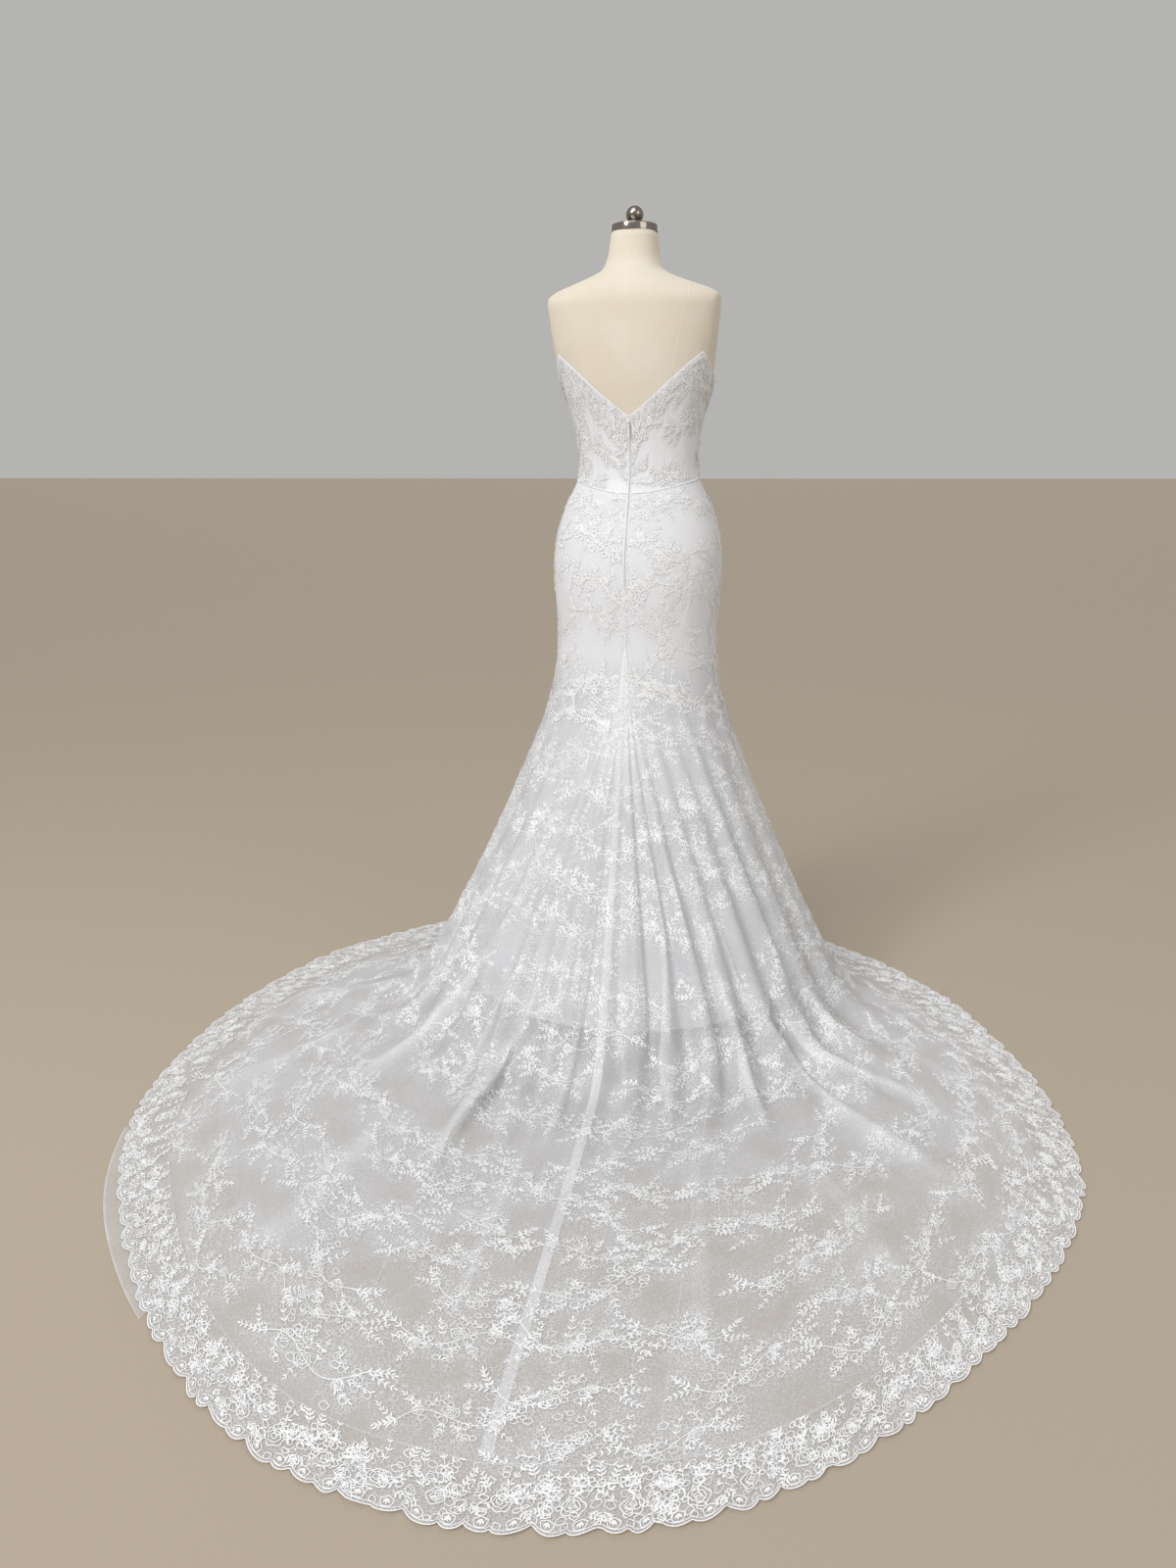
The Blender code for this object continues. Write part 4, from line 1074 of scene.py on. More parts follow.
@dataclass
class LaceLayer(Gathered):
    """Lace laid on one cloth, gathered until it is made into pieces."""

    cloth: ClothMap | None = None
    raised: float = 1.0

    def put(self, anchor: Pair, work: Parts, scale: float = 1.0, turned: float = 0.0, mirrored: bool = False) -> None:
        """Lays one piece of flat work, and drops what runs off the cloth or onto the zip.

        Args:
            anchor: Row and column in the cloth's grid.
            work: Points and triangles.
            scale: Share of the drawn size.
            turned: Angle that it is turned by.
            mirrored: Whether it is mirrored across.
        """
        flat, faces = work
        c, s = math.cos(turned), math.sin(turned)
        x, y = flat[:, 0] * (-scale if mirrored else scale), flat[:, 1] * scale
        laid = np.column_stack((x * c - y * s, x * s + y * c, flat[:, 2] * self.raised + THREAD_LIFT))
        at, inside = self.cloth.lay(anchor, laid)
        inside &= ~((np.abs(at[:, 0] - ZIP_ASIDE) < ZIP_CLEAR) & (at[:, 1] > 0) & (at[:, 2] > ZIP_END - 0.004))
        used = faces[inside[faces].all(1)]
        taken, numbers = np.unique(used, return_inverse=True)
        used = numbers.reshape(used.shape)
        self.gather(at[taken], used[:, ::-1] if mirrored else used)

    def strew(self, anchor: Pair, library: Library, sizes: Pair, turned: float, spread: float, rng: Draws) -> None:
        """Lays one drawn piece of a library.

        Args:
            anchor: Row and column.
            library: The pieces to draw from.
            sizes: Least and greatest scale.
            turned: The middle of its turn.
            spread: How far the turn strays.
            rng: Draws the piece, its size, its turn and its mirroring.
        """
        self.put(anchor, library[rng.integers(len(library))], rng.uniform(*sizes),
                 turned + rng.normal(0.0, spread), rng.random() < 0.5)


def scattered(cloth: ClothMap, rows: Pair, columns: Pair, spacing: Pair, rng: Draws) -> list[Pair]:
    """Anchors spread evenly but not in step: each keeps an ellipse clear of the others.

    Args:
        cloth: The cloth's grid.
        rows: First and last row.
        columns: First and last column.
        spacing: Least distance across and down.
        rng: Draws the candidates.

    Returns:
        Rows and columns of the anchors.
    """
    row, column = rng.uniform(*rows, CANDIDATES), rng.uniform(*columns, CANDIDATES)
    at, normal = cloth.on(row, column)
    aside = unit(cloth.sample(cloth.points, row, np.minimum(column + 1, cloth.points.shape[1] - 1)) - at)
    below = np.cross(normal, aside)
    kept: list[int] = [0]
    for k in range(1, CANDIDATES):
        d = at[kept] - at[k]
        ellipse = (d @ aside[k] / spacing[0]) ** 2 + (d @ below[k] / spacing[1]) ** 2
        if (ellipse + (d @ normal[k] / spacing[1]) ** 2).min() >= 1:
            kept.append(k)
    return list(zip(row[kept], column[kept]))


def heading_along(path: Array, closed: bool) -> Array:
    """The unit direction at each point of a path, between its neighbours.

    Args:
        path: Its points.
        closed: Whether the end joins the start.

    Returns:
        The directions.
    """
    ends = (path[-1:], path[:1]) if closed else (2 * path[:1] - path[1:2], 2 * path[-1:] - path[-2:-1])
    whole = np.concatenate((ends[0], path, ends[1]))
    return unit(whole[2:] - whole[:-2])


def cord_along(path: Array, normals: Array, width: float, rise: float, closed: bool = False) -> Parts:
    """A sewn cord: three lines along a path, the middle one raised, and quads between them.

    Args:
        path: Points along it.
        normals: The cloth's normals there.
        width: Its width.
        rise: Height of its middle above its edges.
        closed: Whether the end joins the start.

    Returns:
        Points as three rows, and quads.
    """
    side = unit(np.cross(normals, heading_along(path, closed))) * width / 2
    return np.stack((path - side, path + normals * rise, path + side)), grid_quads(3, len(path), closed)


def tube_along(path: Array, radius: float, closed: bool) -> Parts:
    """A round tube: eight points of a circle in the plane square to the path at each point.

    Args:
        path: Points along it.
        radius: Its radius.
        closed: Whether the end joins the start.

    Returns:
        Points by place round it and along it, and quads.
    """
    ahead = heading_along(path, closed)
    out = unit(np.cross(ahead, np.array((0.0, 0.0, 1.0)) + NEARLY))
    up = np.cross(out, ahead)
    a = np.linspace(0, math.tau, 9)[:, None, None]
    return path + (out * np.cos(a) + up * np.sin(a)) * radius, grid_quads(9, len(path), closed)[:, ::-1]


def lathe(profile: Array, steps: int, place: Array) -> Parts:
    """A turned form: a profile of (radius, height) rows, from the top down, swept round an upright axis.

    Args:
        profile: Radius and height at each row.
        steps: Columns round it.
        place: The axis's place in plan.

    Returns:
        Points and quads.
    """
    plan = plan_direction(np.arange(steps) * 360.0 / steps)
    ring = plan[None] * profile[:, None, :1] + place
    height = np.broadcast_to(profile[:, None, 1:], (len(profile), steps, 1))
    return np.concatenate((ring, height), -1), grid_quads(len(profile), steps, closed=True)


# ---- finishes
class NodeWork:
    """Adds nodes to one tree and joins them."""

    def __init__(self, tree: bpy.types.NodeTree, where: Socket) -> None:
        """Works in a tree, its patterns placed by a vector."""
        self.tree, self.where = tree, where

    def node(self, kind: str, inputs: dict[str | int, Any] | None = None, **settings: Any) -> bpy.types.Node:
        """A node with its settings, and values or links for its inputs.

        Args:
            kind: The shader node's kind.
            inputs: A value or a socket for each input.
            **settings: Its other properties.

        Returns:
            The node.
        """
        made = self.tree.nodes.new("ShaderNode" + kind)
        for key, value in settings.items():
            setattr(made, key, value)
        for key, value in (inputs or {}).items():
            if isinstance(value, Socket):
                self.tree.links.new(value, made.inputs[key])
            else:
                made.inputs[key].default_value = value
        return made

    def maths(self, operation: str, a: Any, b: Any, clamp: bool = False) -> Socket:
        """The result of a Math node."""
        return self.node("Math", {0: a, 1: b}, operation=operation, use_clamp=clamp).outputs[0]

    def times(self, a: Any, b: Any, clamp: bool = False) -> Socket:
        """One value times another."""
        return self.maths("MULTIPLY", a, b, clamp)

    def plus(self, a: Any, b: Any, clamp: bool = False) -> Socket:
        """One value plus another."""
        return self.maths("ADD", a, b, clamp)

    def noise(self, scale: float, detail: float, where: Socket | None = None) -> Socket:
        """Noise from 0 to 1."""
        return self.node("TexNoise", {"Vector": where or self.where, "Scale": scale, "Detail": detail}).outputs["Fac"]

    def cells(self, scale: Socket, edge: float, clear: float) -> Socket:
        """1 on the edges between Voronoi cells, eased to 0 at a distance from them."""
        made = self.node("TexVoronoi", {"Vector": self.where, "Scale": scale}, feature="DISTANCE_TO_EDGE")
        return self.ramp(made.outputs["Distance"], edge, clear, 1.0, 0.0)

    def ramp(self, value: Socket, low: float, high: float, start: float = 0.0, end: float = 1.0) -> Socket:
        """A value from low to high, eased to run from start to end."""
        return self.node("MapRange", {0: value, 1: low, 2: high, 3: start, 4: end},
                         interpolation_type="SMOOTHSTEP").outputs[0]


class PatternGroup(NodeWork):
    """A pattern that several finishes share: a node group with named sockets, built once."""

    def __init__(self, name: str, inputs: Sequence[str], outputs: Sequence[str]) -> None:
        """An empty group.

        Args:
            name: Its name.
            inputs: Numbers that it takes besides a vector.
            outputs: Values that it gives.
        """
        tree = bpy.data.node_groups.new(name, "ShaderNodeTree")
        for key, way, kind in (("Vector", "INPUT", "Vector"), *((key, "INPUT", "Float") for key in inputs),
                               *((key, "OUTPUT", "Float") for key in outputs)):
            tree.interface.new_socket(key, in_out=way, socket_type="NodeSocket" + kind)
        self.given = tree.nodes.new("NodeGroupInput").outputs
        self.result = tree.nodes.new("NodeGroupOutput").inputs
        super().__init__(tree, self.given["Vector"])

    def give(self, **sockets: Socket) -> bpy.types.NodeTree:
        """Joins sockets to the group's outputs.

        Args:
            **sockets: A socket for each output's name.

        Returns:
            The finished group.
        """
        for key, socket in sockets.items():
            self.tree.links.new(socket, self.result[key])
        return self.tree


@dataclass(frozen=True)
class Patterns:
    """The node groups: lace ground, weave and wear."""

    ground: bpy.types.NodeTree
    weave: bpy.types.NodeTree
    wear: bpy.types.NodeTree

    @classmethod
    def built(cls) -> "Patterns":
        """Net and vines from cells' edges, ribs from crossing waves, smears and scratches from noise.

        Returns:
            The three groups.
        """
        ground = PatternGroup("lace ground", ("Net Scale", "Vine Scale"), ("Net", "Vines"))
        weave = PatternGroup("weave", ("Ribs",), ("Patch", "Weave"))
        waves = [weave.node("TexWave", {"Vector": weave.where, "Scale": weave.given["Ribs"], "Distortion": 0.4},
                            bands_direction=way).outputs["Fac"] for way in ("Z", "X")]
        wear = PatternGroup("wear", (), ("Smear", "Scratch"))
        drawn = wear.node("Mapping", {"Vector": wear.where, "Scale": (1.0, 1.0, 40.0)}).outputs[0]
        return cls(ground.give(Net=ground.cells(ground.given["Net Scale"], 0.05, 0.22),
                               Vines=ground.cells(ground.given["Vine Scale"], 0.03, 0.12)),
                   weave.give(Patch=weave.noise(14.0, 4.0), Weave=weave.times(*waves)),
                   wear.give(Smear=wear.noise(35.0, 5.0), Scratch=wear.noise(160.0, 3.0, drawn)))


class MaterialWork(NodeWork):
    """Adds nodes to one material round its Principled shader, in object coordinates."""

    def __init__(self, name: str) -> None:
        """A new material.

        Args:
            name: Its name.
        """
        self.material = bpy.data.materials.new(name)
        self.material.use_nodes = True
        tree = self.material.node_tree
        self.shader = tree.nodes["Principled BSDF"]
        super().__init__(tree, tree.nodes.new("ShaderNodeTexCoord").outputs["Object"])

    def pattern(self, group: bpy.types.NodeTree, **values: float) -> bpy.types.NodeOutputs:
        """A shared pattern's outputs, with this material's own values; underscores stand for spaces."""
        own = {key.replace("_", " "): value for key, value in values.items()}
        return self.node("Group", {"Vector": self.where, **own}, node_tree=group).outputs

    def set(self, **values: float | Socket) -> None:
        """Gives the shader's own sockets their values or links.

        Args:
            **values: A value or a socket by name, underscores for its spaces.
        """
        for key, value in values.items():
            socket = self.shader.inputs[key.replace("_", " ")]
            if isinstance(value, Socket):
                self.tree.links.new(value, socket)
            else:
                socket.default_value = value

    def mark(self, name: str) -> Socket:
        """A value kept at the mesh's points."""
        return self.node("Attribute", attribute_name=name, attribute_type="GEOMETRY").outputs["Fac"]

    def between(self, share: Socket, a: Colour | Socket, b: Colour) -> Socket:
        """A colour between two."""
        first = a if isinstance(a, Socket) else (*a, 1.0)
        return self.node("Mix", {0: share, 6: first, 7: (*b, 1.0)}, data_type="RGBA").outputs[2]

    def bump(self, height: Socket, distance: float, strength: float) -> Socket:
        """The normal of a bump from a height."""
        return self.node("Bump", {"Height": height, "Distance": distance, "Strength": strength}).outputs["Normal"]


@dataclass(frozen=True)
class NetFinish:
    """Fine net, opaque over its lining where it isn't marked sheer, denser where it is embroidered, with painted shade
    under the embroidery.
    """

    name: str
    cloth: Colour
    thread: Colour
    painted_shade: Colour
    cover: float
    worked_cover: float
    net: float = 420.0
    vine: float = 185.0

    def make(self, patterns: Patterns) -> Material:
        """Alpha from the net's cells, the vine work, the folds and the mark for sheer cloth; painted shade under the
        embroidery.

        Args:
            patterns: The shared node groups.

        Returns:
            The material.
        """
        work = MaterialWork(self.name)
        times, plus = work.times, work.plus
        sheer, lace, fold = (work.mark(name) for name in ("sheer", "lace", "fold"))
        ground = work.pattern(patterns.ground, Net_Scale=self.net, Vine_Scale=self.vine)
        net, vines = ground["Net"], ground["Vines"]
        patchy = work.ramp(work.noise(9.0, 1.0), 0.35, 0.65, -0.17, -0.07)
        worked = times(lace, plus(times(vines, 0.6), 0.4))
        cover = plus(plus(times(net, 0.34), patchy), times(worked, self.worked_cover))
        cover = plus(plus(cover, times(fold, 0.22)), self.cover, clamp=True)
        seen = times(sheer, work.maths("SUBTRACT", 1.0, cover))
        # painted shade: where the lace mark is high, the ground under the embroidery is darkened as though shaded by
        # it
        tone = work.between(times(lace, 0.8, clamp=True), self.cloth, self.painted_shade)
        # the fold mark whitens doubled net along the creases; on the skirt panels it also carries a painted highlight
        # at the godet's tip
        tone = work.between(times(fold, 0.45, clamp=True), tone, self.thread)
        work.set(Alpha=work.maths("SUBTRACT", 1.0, seen, clamp=True),
                 Base_Color=work.between(times(times(lace, vines), 0.7), tone, self.thread),
                 Roughness=0.74, Sheen_Weight=0.16, Sheen_Roughness=0.5, Specular_IOR_Level=0.25,
                 Normal=work.bump(plus(times(vines, lace), times(net, 0.17)), 0.0005, 0.6))
        return work.material


@dataclass(frozen=True)
class LaceOverSatin:
    """The close-fitting cloth: satin seen through net, with embroidery that thickens where it is marked, and painted
    shade on the satin under the embroidery.
    """

    name: str
    cloth: Colour
    thread: Colour
    painted_shade: Colour

    def make(self, patterns: Patterns) -> Material:
        """Colour and bump from the net's cells and the vine work between the sprays, with painted shade under the
        embroidery.

        Args:
            patterns: The shared node groups.

        Returns:
            The material.
        """
        work = MaterialWork(self.name)
        times, plus = work.times, work.plus
        lace = work.mark("lace")
        ground = work.pattern(patterns.ground, Net_Scale=430.0, Vine_Scale=150.0)
        worked = times(lace, ground["Vines"])
        height = plus(plus(times(worked, 1.4), times(ground["Net"], 0.12)), times(work.noise(60.0, 3.0), 0.6))
        # painted shade: where the lace mark is high, the satin under the embroidery is darkened as though shaded by it
        tone = work.between(lace, self.cloth, self.painted_shade)
        work.set(Base_Color=work.between(times(worked, 0.9), tone, self.thread),
                 Roughness=work.ramp(lace, 0.0, 1.0, 0.46, 0.80), Sheen_Weight=0.18, Sheen_Roughness=0.45,
                 Specular_IOR_Level=0.32, Normal=work.bump(height, 0.0009, 0.9))
        return work.material


@dataclass(frozen=True)
class WovenFinish:
    """A woven or thread finish: two tones, a weave of crossing ribs, and slow patches."""

    name: str
    cloth: Colour
    shade: Colour
    ribs: float
    relief: float
    rough: float = 0.7
    sheen: float = 0.15

    def make(self, patterns: Patterns) -> Material:
        """Colour and roughness from the patches, bump from the ribs.

        Args:
            patterns: The shared node groups.

        Returns:
            The material.
        """
        work = MaterialWork(self.name)
        patch, ribs = work.pattern(patterns.weave, Ribs=self.ribs)
        tone = work.plus(work.times(work.ramp(patch, 0.3, 0.7), 0.65), work.times(ribs, 0.35))
        work.set(Base_Color=work.between(tone, self.shade, self.cloth),
                 Roughness=work.ramp(patch, 0.2, 0.8, self.rough - 0.07, self.rough + 0.07),
                 Sheen_Weight=self.sheen, Sheen_Roughness=0.5, Specular_IOR_Level=0.3,
                 Normal=work.bump(ribs, self.relief, 0.5))
        return work.material


@dataclass(frozen=True)
class HardFinish:
    """Polished metal or lacquer, with fine wear in its gloss."""

    name: str
    colour: Colour
    worn: Colour
    metallic: float
    rough: float
    coat: float = 0.0
    brushed: float = 0.0

    def make(self, patterns: Patterns) -> Material:
        """Colour and roughness from smears, and bump from fine scratches.

        Args:
            patterns: The shared node groups.

        Returns:
            The material.
        """
        work = MaterialWork(self.name)
        smear, scratch = work.pattern(patterns.wear)
        rough = work.plus(work.ramp(smear, 0.3, 0.7, 0.0, 0.09), work.times(scratch, 0.06))
        work.set(Base_Color=work.between(work.ramp(smear, 0.45, 0.75), self.colour, self.worn),
                 Roughness=work.plus(rough, max(self.rough - 0.05, 0.02), clamp=True),
                 Metallic=self.metallic, Coat_Weight=self.coat, Coat_Roughness=0.08,
                 Normal=work.bump(scratch, 0.00004 + 0.0001 * self.brushed, 0.4))
        return work.material


class Wardrobe:
    """Every finish of the dress and its form, made once and found by its name."""

    def __init__(self) -> None:
        """All finishes with their colours."""
        # the third colour of the lace over satin, embroidered net and border net is a painted shade for the cloth
        # under their embroidery
        white, bright, painted_shade = (0.765, 0.77, 0.795), (0.965, 0.97, 0.98), (0.69, 0.695, 0.72)
        patterns = Patterns.built()
        self.fitted, self.net, self.border, self.tulle, self.thread, self.satin, self.piping = (
            finish.make(patterns) for finish in (
                LaceOverSatin("lace over satin", (0.79, 0.796, 0.826), bright, (0.715, 0.721, 0.75)),
                NetFinish("embroidered net", white, bright, painted_shade, 0.37, 0.18),
                NetFinish("border net", white, bright, painted_shade, 0.34, 0.12),
                NetFinish("plain tulle", (0.8, 0.805, 0.825), bright, white, 0.24, 0.0, net=560.0),
                WovenFinish("lace thread", (0.968, 0.968, 0.975), (0.915, 0.915, 0.925), 900.0, 0.0002),
                WovenFinish("satin lining", (0.88, 0.88, 0.9), (0.84, 0.84, 0.86), 700.0, 0.00006, 0.42),
                WovenFinish("satin piping", (0.93, 0.93, 0.94), (0.87, 0.87, 0.885), 700.0, 0.00008, 0.5)))
        self.linen, self.linen_tape, self.steel, self.enamel, self.zip_cloth, self.zip_metal = (
            finish.make(patterns) for finish in (
                WovenFinish("cream linen", (0.8, 0.735, 0.625), (0.745, 0.672, 0.555), 420.0, 0.00018, 0.86),
                WovenFinish("linen seam", (0.87, 0.8, 0.68), (0.8, 0.725, 0.6), 600.0, 0.00012, 0.86),
                HardFinish("polished steel", (0.33, 0.3, 0.27), (0.26, 0.235, 0.21), 1.0, 0.12),
                HardFinish("black enamel", (0.022, 0.021, 0.02), (0.045, 0.043, 0.041), 0.0, 0.32, 0.4),
                WovenFinish("zip tape", (0.86, 0.86, 0.89), (0.8, 0.8, 0.83), 900.0, 0.0001),
                HardFinish("zip metal", (0.8, 0.81, 0.84), (0.7, 0.71, 0.74), 0.55, 0.36, 0.0, 0.5)))


# ---- the skirt
@dataclass
class Skirt:
    """The skirt's five panels, its linings, its seams and its embroidery."""

    wardrobe: Wardrobe
    back_step: float = 0.5
    front_step: float = 1.5
    fillet: Pair = (0.055, 0.0024)
    train_spacing: Pair = (0.136, 0.072)
    train_sprays: Pair = (0.85, 1.08)
    body_spacing: Pair = (0.12, 0.066)
    body_sprays: Pair = (0.68, 0.84)
    smooth_below_zip: tuple[float, float, float] = (0.034, 0.79, 0.875)
    middle_lace: Pair = (-18.0, 12.0)

    def __post_init__(self) -> None:
        """Works out the grid from which every panel and all its lace take their places."""
        sides = -SIDE_TURN - self.front_step * np.arange(66, 0, -1)
        back = np.arange(-SIDE_TURN, SIDE_TURN + 0.1, self.back_step)
        self.gores = np.concatenate((sides, back, -sides[::-1]))
        self.shares = np.concatenate(((0.0, 0.006, 0.014, 0.026), np.linspace(0.045, 1.0, 40),
                                      np.linspace(1.0, 2.0, 75)[1:], np.linspace(2.0, 3.0, 62)[1:]))
        self.gore, self.share = np.meshgrid(self.gores, self.shares)
        self.row = SHAPE.panel_row(folded_turn(self.gore), self.share)
        relief, self.fold = SHAPE.skirt_relief(self.gore, self.row)
        relief -= SEAM_GROOVE * np.exp(-(self.share * 110.0) ** 2)
        reach, rise = self.fillet
        from_ring = np.abs(SHAPE.skirt(self.gore, self.row)[..., 2] - FLARE_TOP)
        relief += rise * np.maximum(1 - from_ring / reach, 0.0) ** 2
        normal = SHAPE.skirt_normal(self.gore, self.row)
        points = SHAPE.skirt(self.gore, self.row) + normal * (WALL + np.maximum(relief, -WALL))[..., None]
        self.cloth = ClothMap(points, normal)
        self.lace = LaceLayer(cloth=self.cloth)
        self.fitted_lace = LaceLayer(cloth=self.cloth, raised=1.8)

    def rows_at(self, share: float) -> float:
        """The grid row at a share down the panels."""
        return float(np.interp(share, self.shares, np.arange(len(self.shares))))

    def column_at(self, gore: float) -> float:
        """The grid column at a gore."""
        return float(np.interp(gore, self.gores, np.arange(len(self.gores))))

    def embroider(self, library: Library, bold_library: Library, rng: Draws) -> None:
        """Lays sprays in uneven rows, smaller and closer together on the body.

        Args:
            library: The sprays of the train.
            bold_library: The sprays of the body.
            rng: Draws their places, sizes and turns.
        """
        sides = (self.column_at(-180.0), self.column_at(180.0))
        aside, low, high = self.smooth_below_zip
        train = (self.rows_at(1.12), self.rows_at(2.985))
        for anchor in scattered(self.cloth, train, sides, self.train_spacing, rng):
            self.lace.strew(anchor, library, self.train_sprays, 0.0, 0.22, rng)
        for row, column in scattered(self.cloth, (3.0, self.rows_at(1.24)), sides, self.body_spacing, rng):
            x, y, z = self.cloth.sample(self.cloth.points, np.array([row]), np.array([column]))[0]
            if not (y > 0 and abs(x) < aside and low < z < high):
                self.fitted_lace.strew((row, column), bold_library, self.body_sprays, 0.0, 0.5, rng)

    def panels(self) -> None:
        """Each panel as a sheet cut from the grid, with its marks for sheer, worked and creased cloth.

        The godet's tip, 1 - (gore / reach)^2 across, gets a painted highlight through the fold mark.
        """
        sheer = smooth_step((self.row - 0.01) / 0.17) * (0.74 + 0.26 * smooth_step((self.row - 0.3) / 0.45))
        density = self.cloth.density(FULLY_WORKED)
        # painted highlight: the godet's tip is whitened as though lit brighter than the cloth round it
        reach = GODET_TURN * np.clip((self.share - 0.905) / 0.15, 0.04, 1.4)
        godet_highlight = np.maximum(1 - (np.abs(self.gore) / reach) ** 2, 0.0)
        godet_highlight *= np.clip((1.5 - self.share) / 0.4, 0.0, 1.0) * smooth_step((self.share - 0.9) / 0.04)
        # the fold mark: the creases, plus the painted highlight at the godet's tip
        fold_mark = self.fold + 1.7 * godet_highlight
        for name, first, last in SKIRT:
            top = -GODET_RISE if name.startswith("train") else -1.0
            columns = self.panel_columns(first, last)
            take = np.ix_(np.flatnonzero(self.row[:, columns[0]] >= top * 0.999 - NEARLY), columns)
            add_piece(name + "_cloth", self.cloth.points[take], self.wardrobe.net, [name],
                      marks={"sheer": sheer[take], "lace": density[take], "fold": fold_mark[take]})

    def panel_columns(self, first: float, last: float) -> Array:
        """The grid columns between two gores, joined over the centre front.

        Args:
            first: First gore.
            last: Last gore.

        Returns:
            Their numbers.
        """
        low = (self.gores >= first - NEARLY) & (self.gores <= min(last, 180.0) + NEARLY)
        high = (self.gores > -180.0 + NEARLY) & (self.gores <= last - 360.0 + NEARLY)
        return np.concatenate((np.flatnonzero(low), np.flatnonzero(high)))

    def lace_pieces(self) -> None:
        """The embroidery in five pieces: on the body, in front, and on the train's left, middle and right."""
        (points, faces), (more_points, more_faces) = self.lace.joined(), self.fitted_lace.joined()
        body = np.arange(len(faces) + len(more_faces)) >= len(faces)
        faces = np.concatenate((faces, more_faces + len(points)))
        points = np.concatenate((points, more_points))
        middle = points[faces].mean(1)
        turn = np.degrees(np.arctan2(middle[:, 0], middle[:, 1]))
        front = np.abs(turn) > SIDE_TURN
        train = ~body & ~front
        right, left = self.middle_lace
        for name, where in {
                "lace_on_hips": body, "lace_front": ~body & front, "lace_train_left": train & (turn > left),
                "lace_train_right": train & (turn < right),
                "lace_train_middle": train & (turn <= left) & (turn >= right)}.items():
            used, numbers = np.unique(faces[where], return_inverse=True)
            add_piece(name, points[used], self.wardrobe.thread, faces=[numbers.reshape(-1, 3)])

    def seam_strip(self, name: str, gore: float, shares: Pair, width: Callable[[Array], Array | float], rise: float,
                   finish: Material, fold_mark: float) -> None:
        """A sewn strip down a gore, its width measured on the cloth.

        Args:
            name: The piece's name.
            gore: The gore that it follows.
            shares: Where it starts and ends.
            width: Width at each share down it.
            rise: Height above the cloth.
            finish: Its material.
            fold_mark: How much more closely than net it is woven.
        """
        first, last = (round(self.rows_at(share)) for share in shares)
        rows = np.arange(first, last + 1)
        column = round(self.column_at(gore))
        numbers = np.arange(len(self.gores))
        offsets = np.linspace(-1, 1, 7) * (np.zeros((len(rows), 1)) + width(np.linspace(0, 1, len(rows))[:, None])) / 2
        columns = np.stack([np.interp(reach[column] + offset, reach, numbers)
                            for reach, offset in zip(self.cloth.across[rows], offsets)])
        at, normal = self.cloth.on(np.repeat(rows, 7).astype(float), columns.ravel())
        add_piece(name, (at + normal * rise).reshape(*columns.shape, 3), finish,
                  marks={"sheer": 1.0, "lace": 0.45, "fold": fold_mark})

    def seams(self) -> None:
        """The centre seam down the train, and narrow seams beside the godet and at the sides."""
        net, low = self.wardrobe.border, 0.00025
        self.seam_strip("seam_train_middle", 0.0, (1.02, 2.99), lambda t: 0.003 + 0.013 * smooth_step(t / 0.5), low,
                        net, 0.9)
        for side, sign in (("left", 1.0), ("right", -1.0)):
            for key, gore, top in (("godet", GODET_TURN, 1.3), ("side", SIDE_TURN, 0.01)):
                self.seam_strip(f"seam_{key}_{side}", sign * gore, (top, 2.99), lambda t: 0.0026, low, net, 0.25)
            self.seam_strip(f"godet_ridge_{side}", sign * GODET_TURN, (0.915, 1.42), lambda t: 0.003 - 0.0014 * t,
                            0.0007, net, 1.0)
        self.seam_strip("seam_centre_back", 0.0, (0.6, 0.94), lambda t: 0.0022, 0.0008, self.wardrobe.piping, 0.0)

    def lining(self) -> None:
        """The satin lining inside the flare, narrower and shorter than the net."""
        def hung(gore: Array, row: Array) -> Array:
            """A point of the flare's surface drawn inwards, with softer folds."""
            return SHAPE.lower(gore, row, narrowed=0.72, folded=0.6)

        gore, row = np.meshgrid(np.arange(-180.0, 181.0, 2.5), np.linspace(0.0, 0.985, 40))
        normal = surface_normal(hung, gore, np.maximum(row, 2e-3))
        points = hung(gore, row) - normal * (0.003 * (1 - smooth_step(row / 0.12)) + 0.0008)[..., None]
        points[..., 2] = np.maximum(points[..., 2], 0.004)
        add_piece("satin_lining", points, self.wardrobe.satin)

    def petticoat(self) -> None:
        """The plain tulle layer under the train, whose edge shows through the net."""
        gores = np.arange(-SIDE_TURN, SIDE_TURN + 0.1, 1.15)
        ends = smooth_table(PETTICOAT_HEM, 1, gores)
        ends = np.minimum(ends, SHAPE.hem_row(gores, HEM_LACE + 0.02))
        gore, share = np.meshgrid(gores, np.linspace(0.0, 1.0, 60))
        row = 0.12 + (ends[None] - 0.12) * share
        relief, fold = SHAPE.skirt_relief(gore, row)
        points = SHAPE.skirt(gore, row) + SHAPE.skirt_normal(gore, row) * (
            0.0007 + np.clip(relief, -0.0002, 1))[..., None]
        add_piece("tulle_petticoat", points, self.wardrobe.tulle,
                  marks={"sheer": 1.0, "lace": 0.0, "fold": 0.3 * fold})


PETTICOAT_HEM = np.array((
    (-92, 1.6), (-70, 1.66), (-54, 1.61), (-44, 1.43), (-34, 1.36), (-20, 1.33), (-9, 1.385),
    (0, 1.45), (22.5, 1.56), (31, 1.7), (50, 1.74), (70, 1.7), (92, 1.6),
))


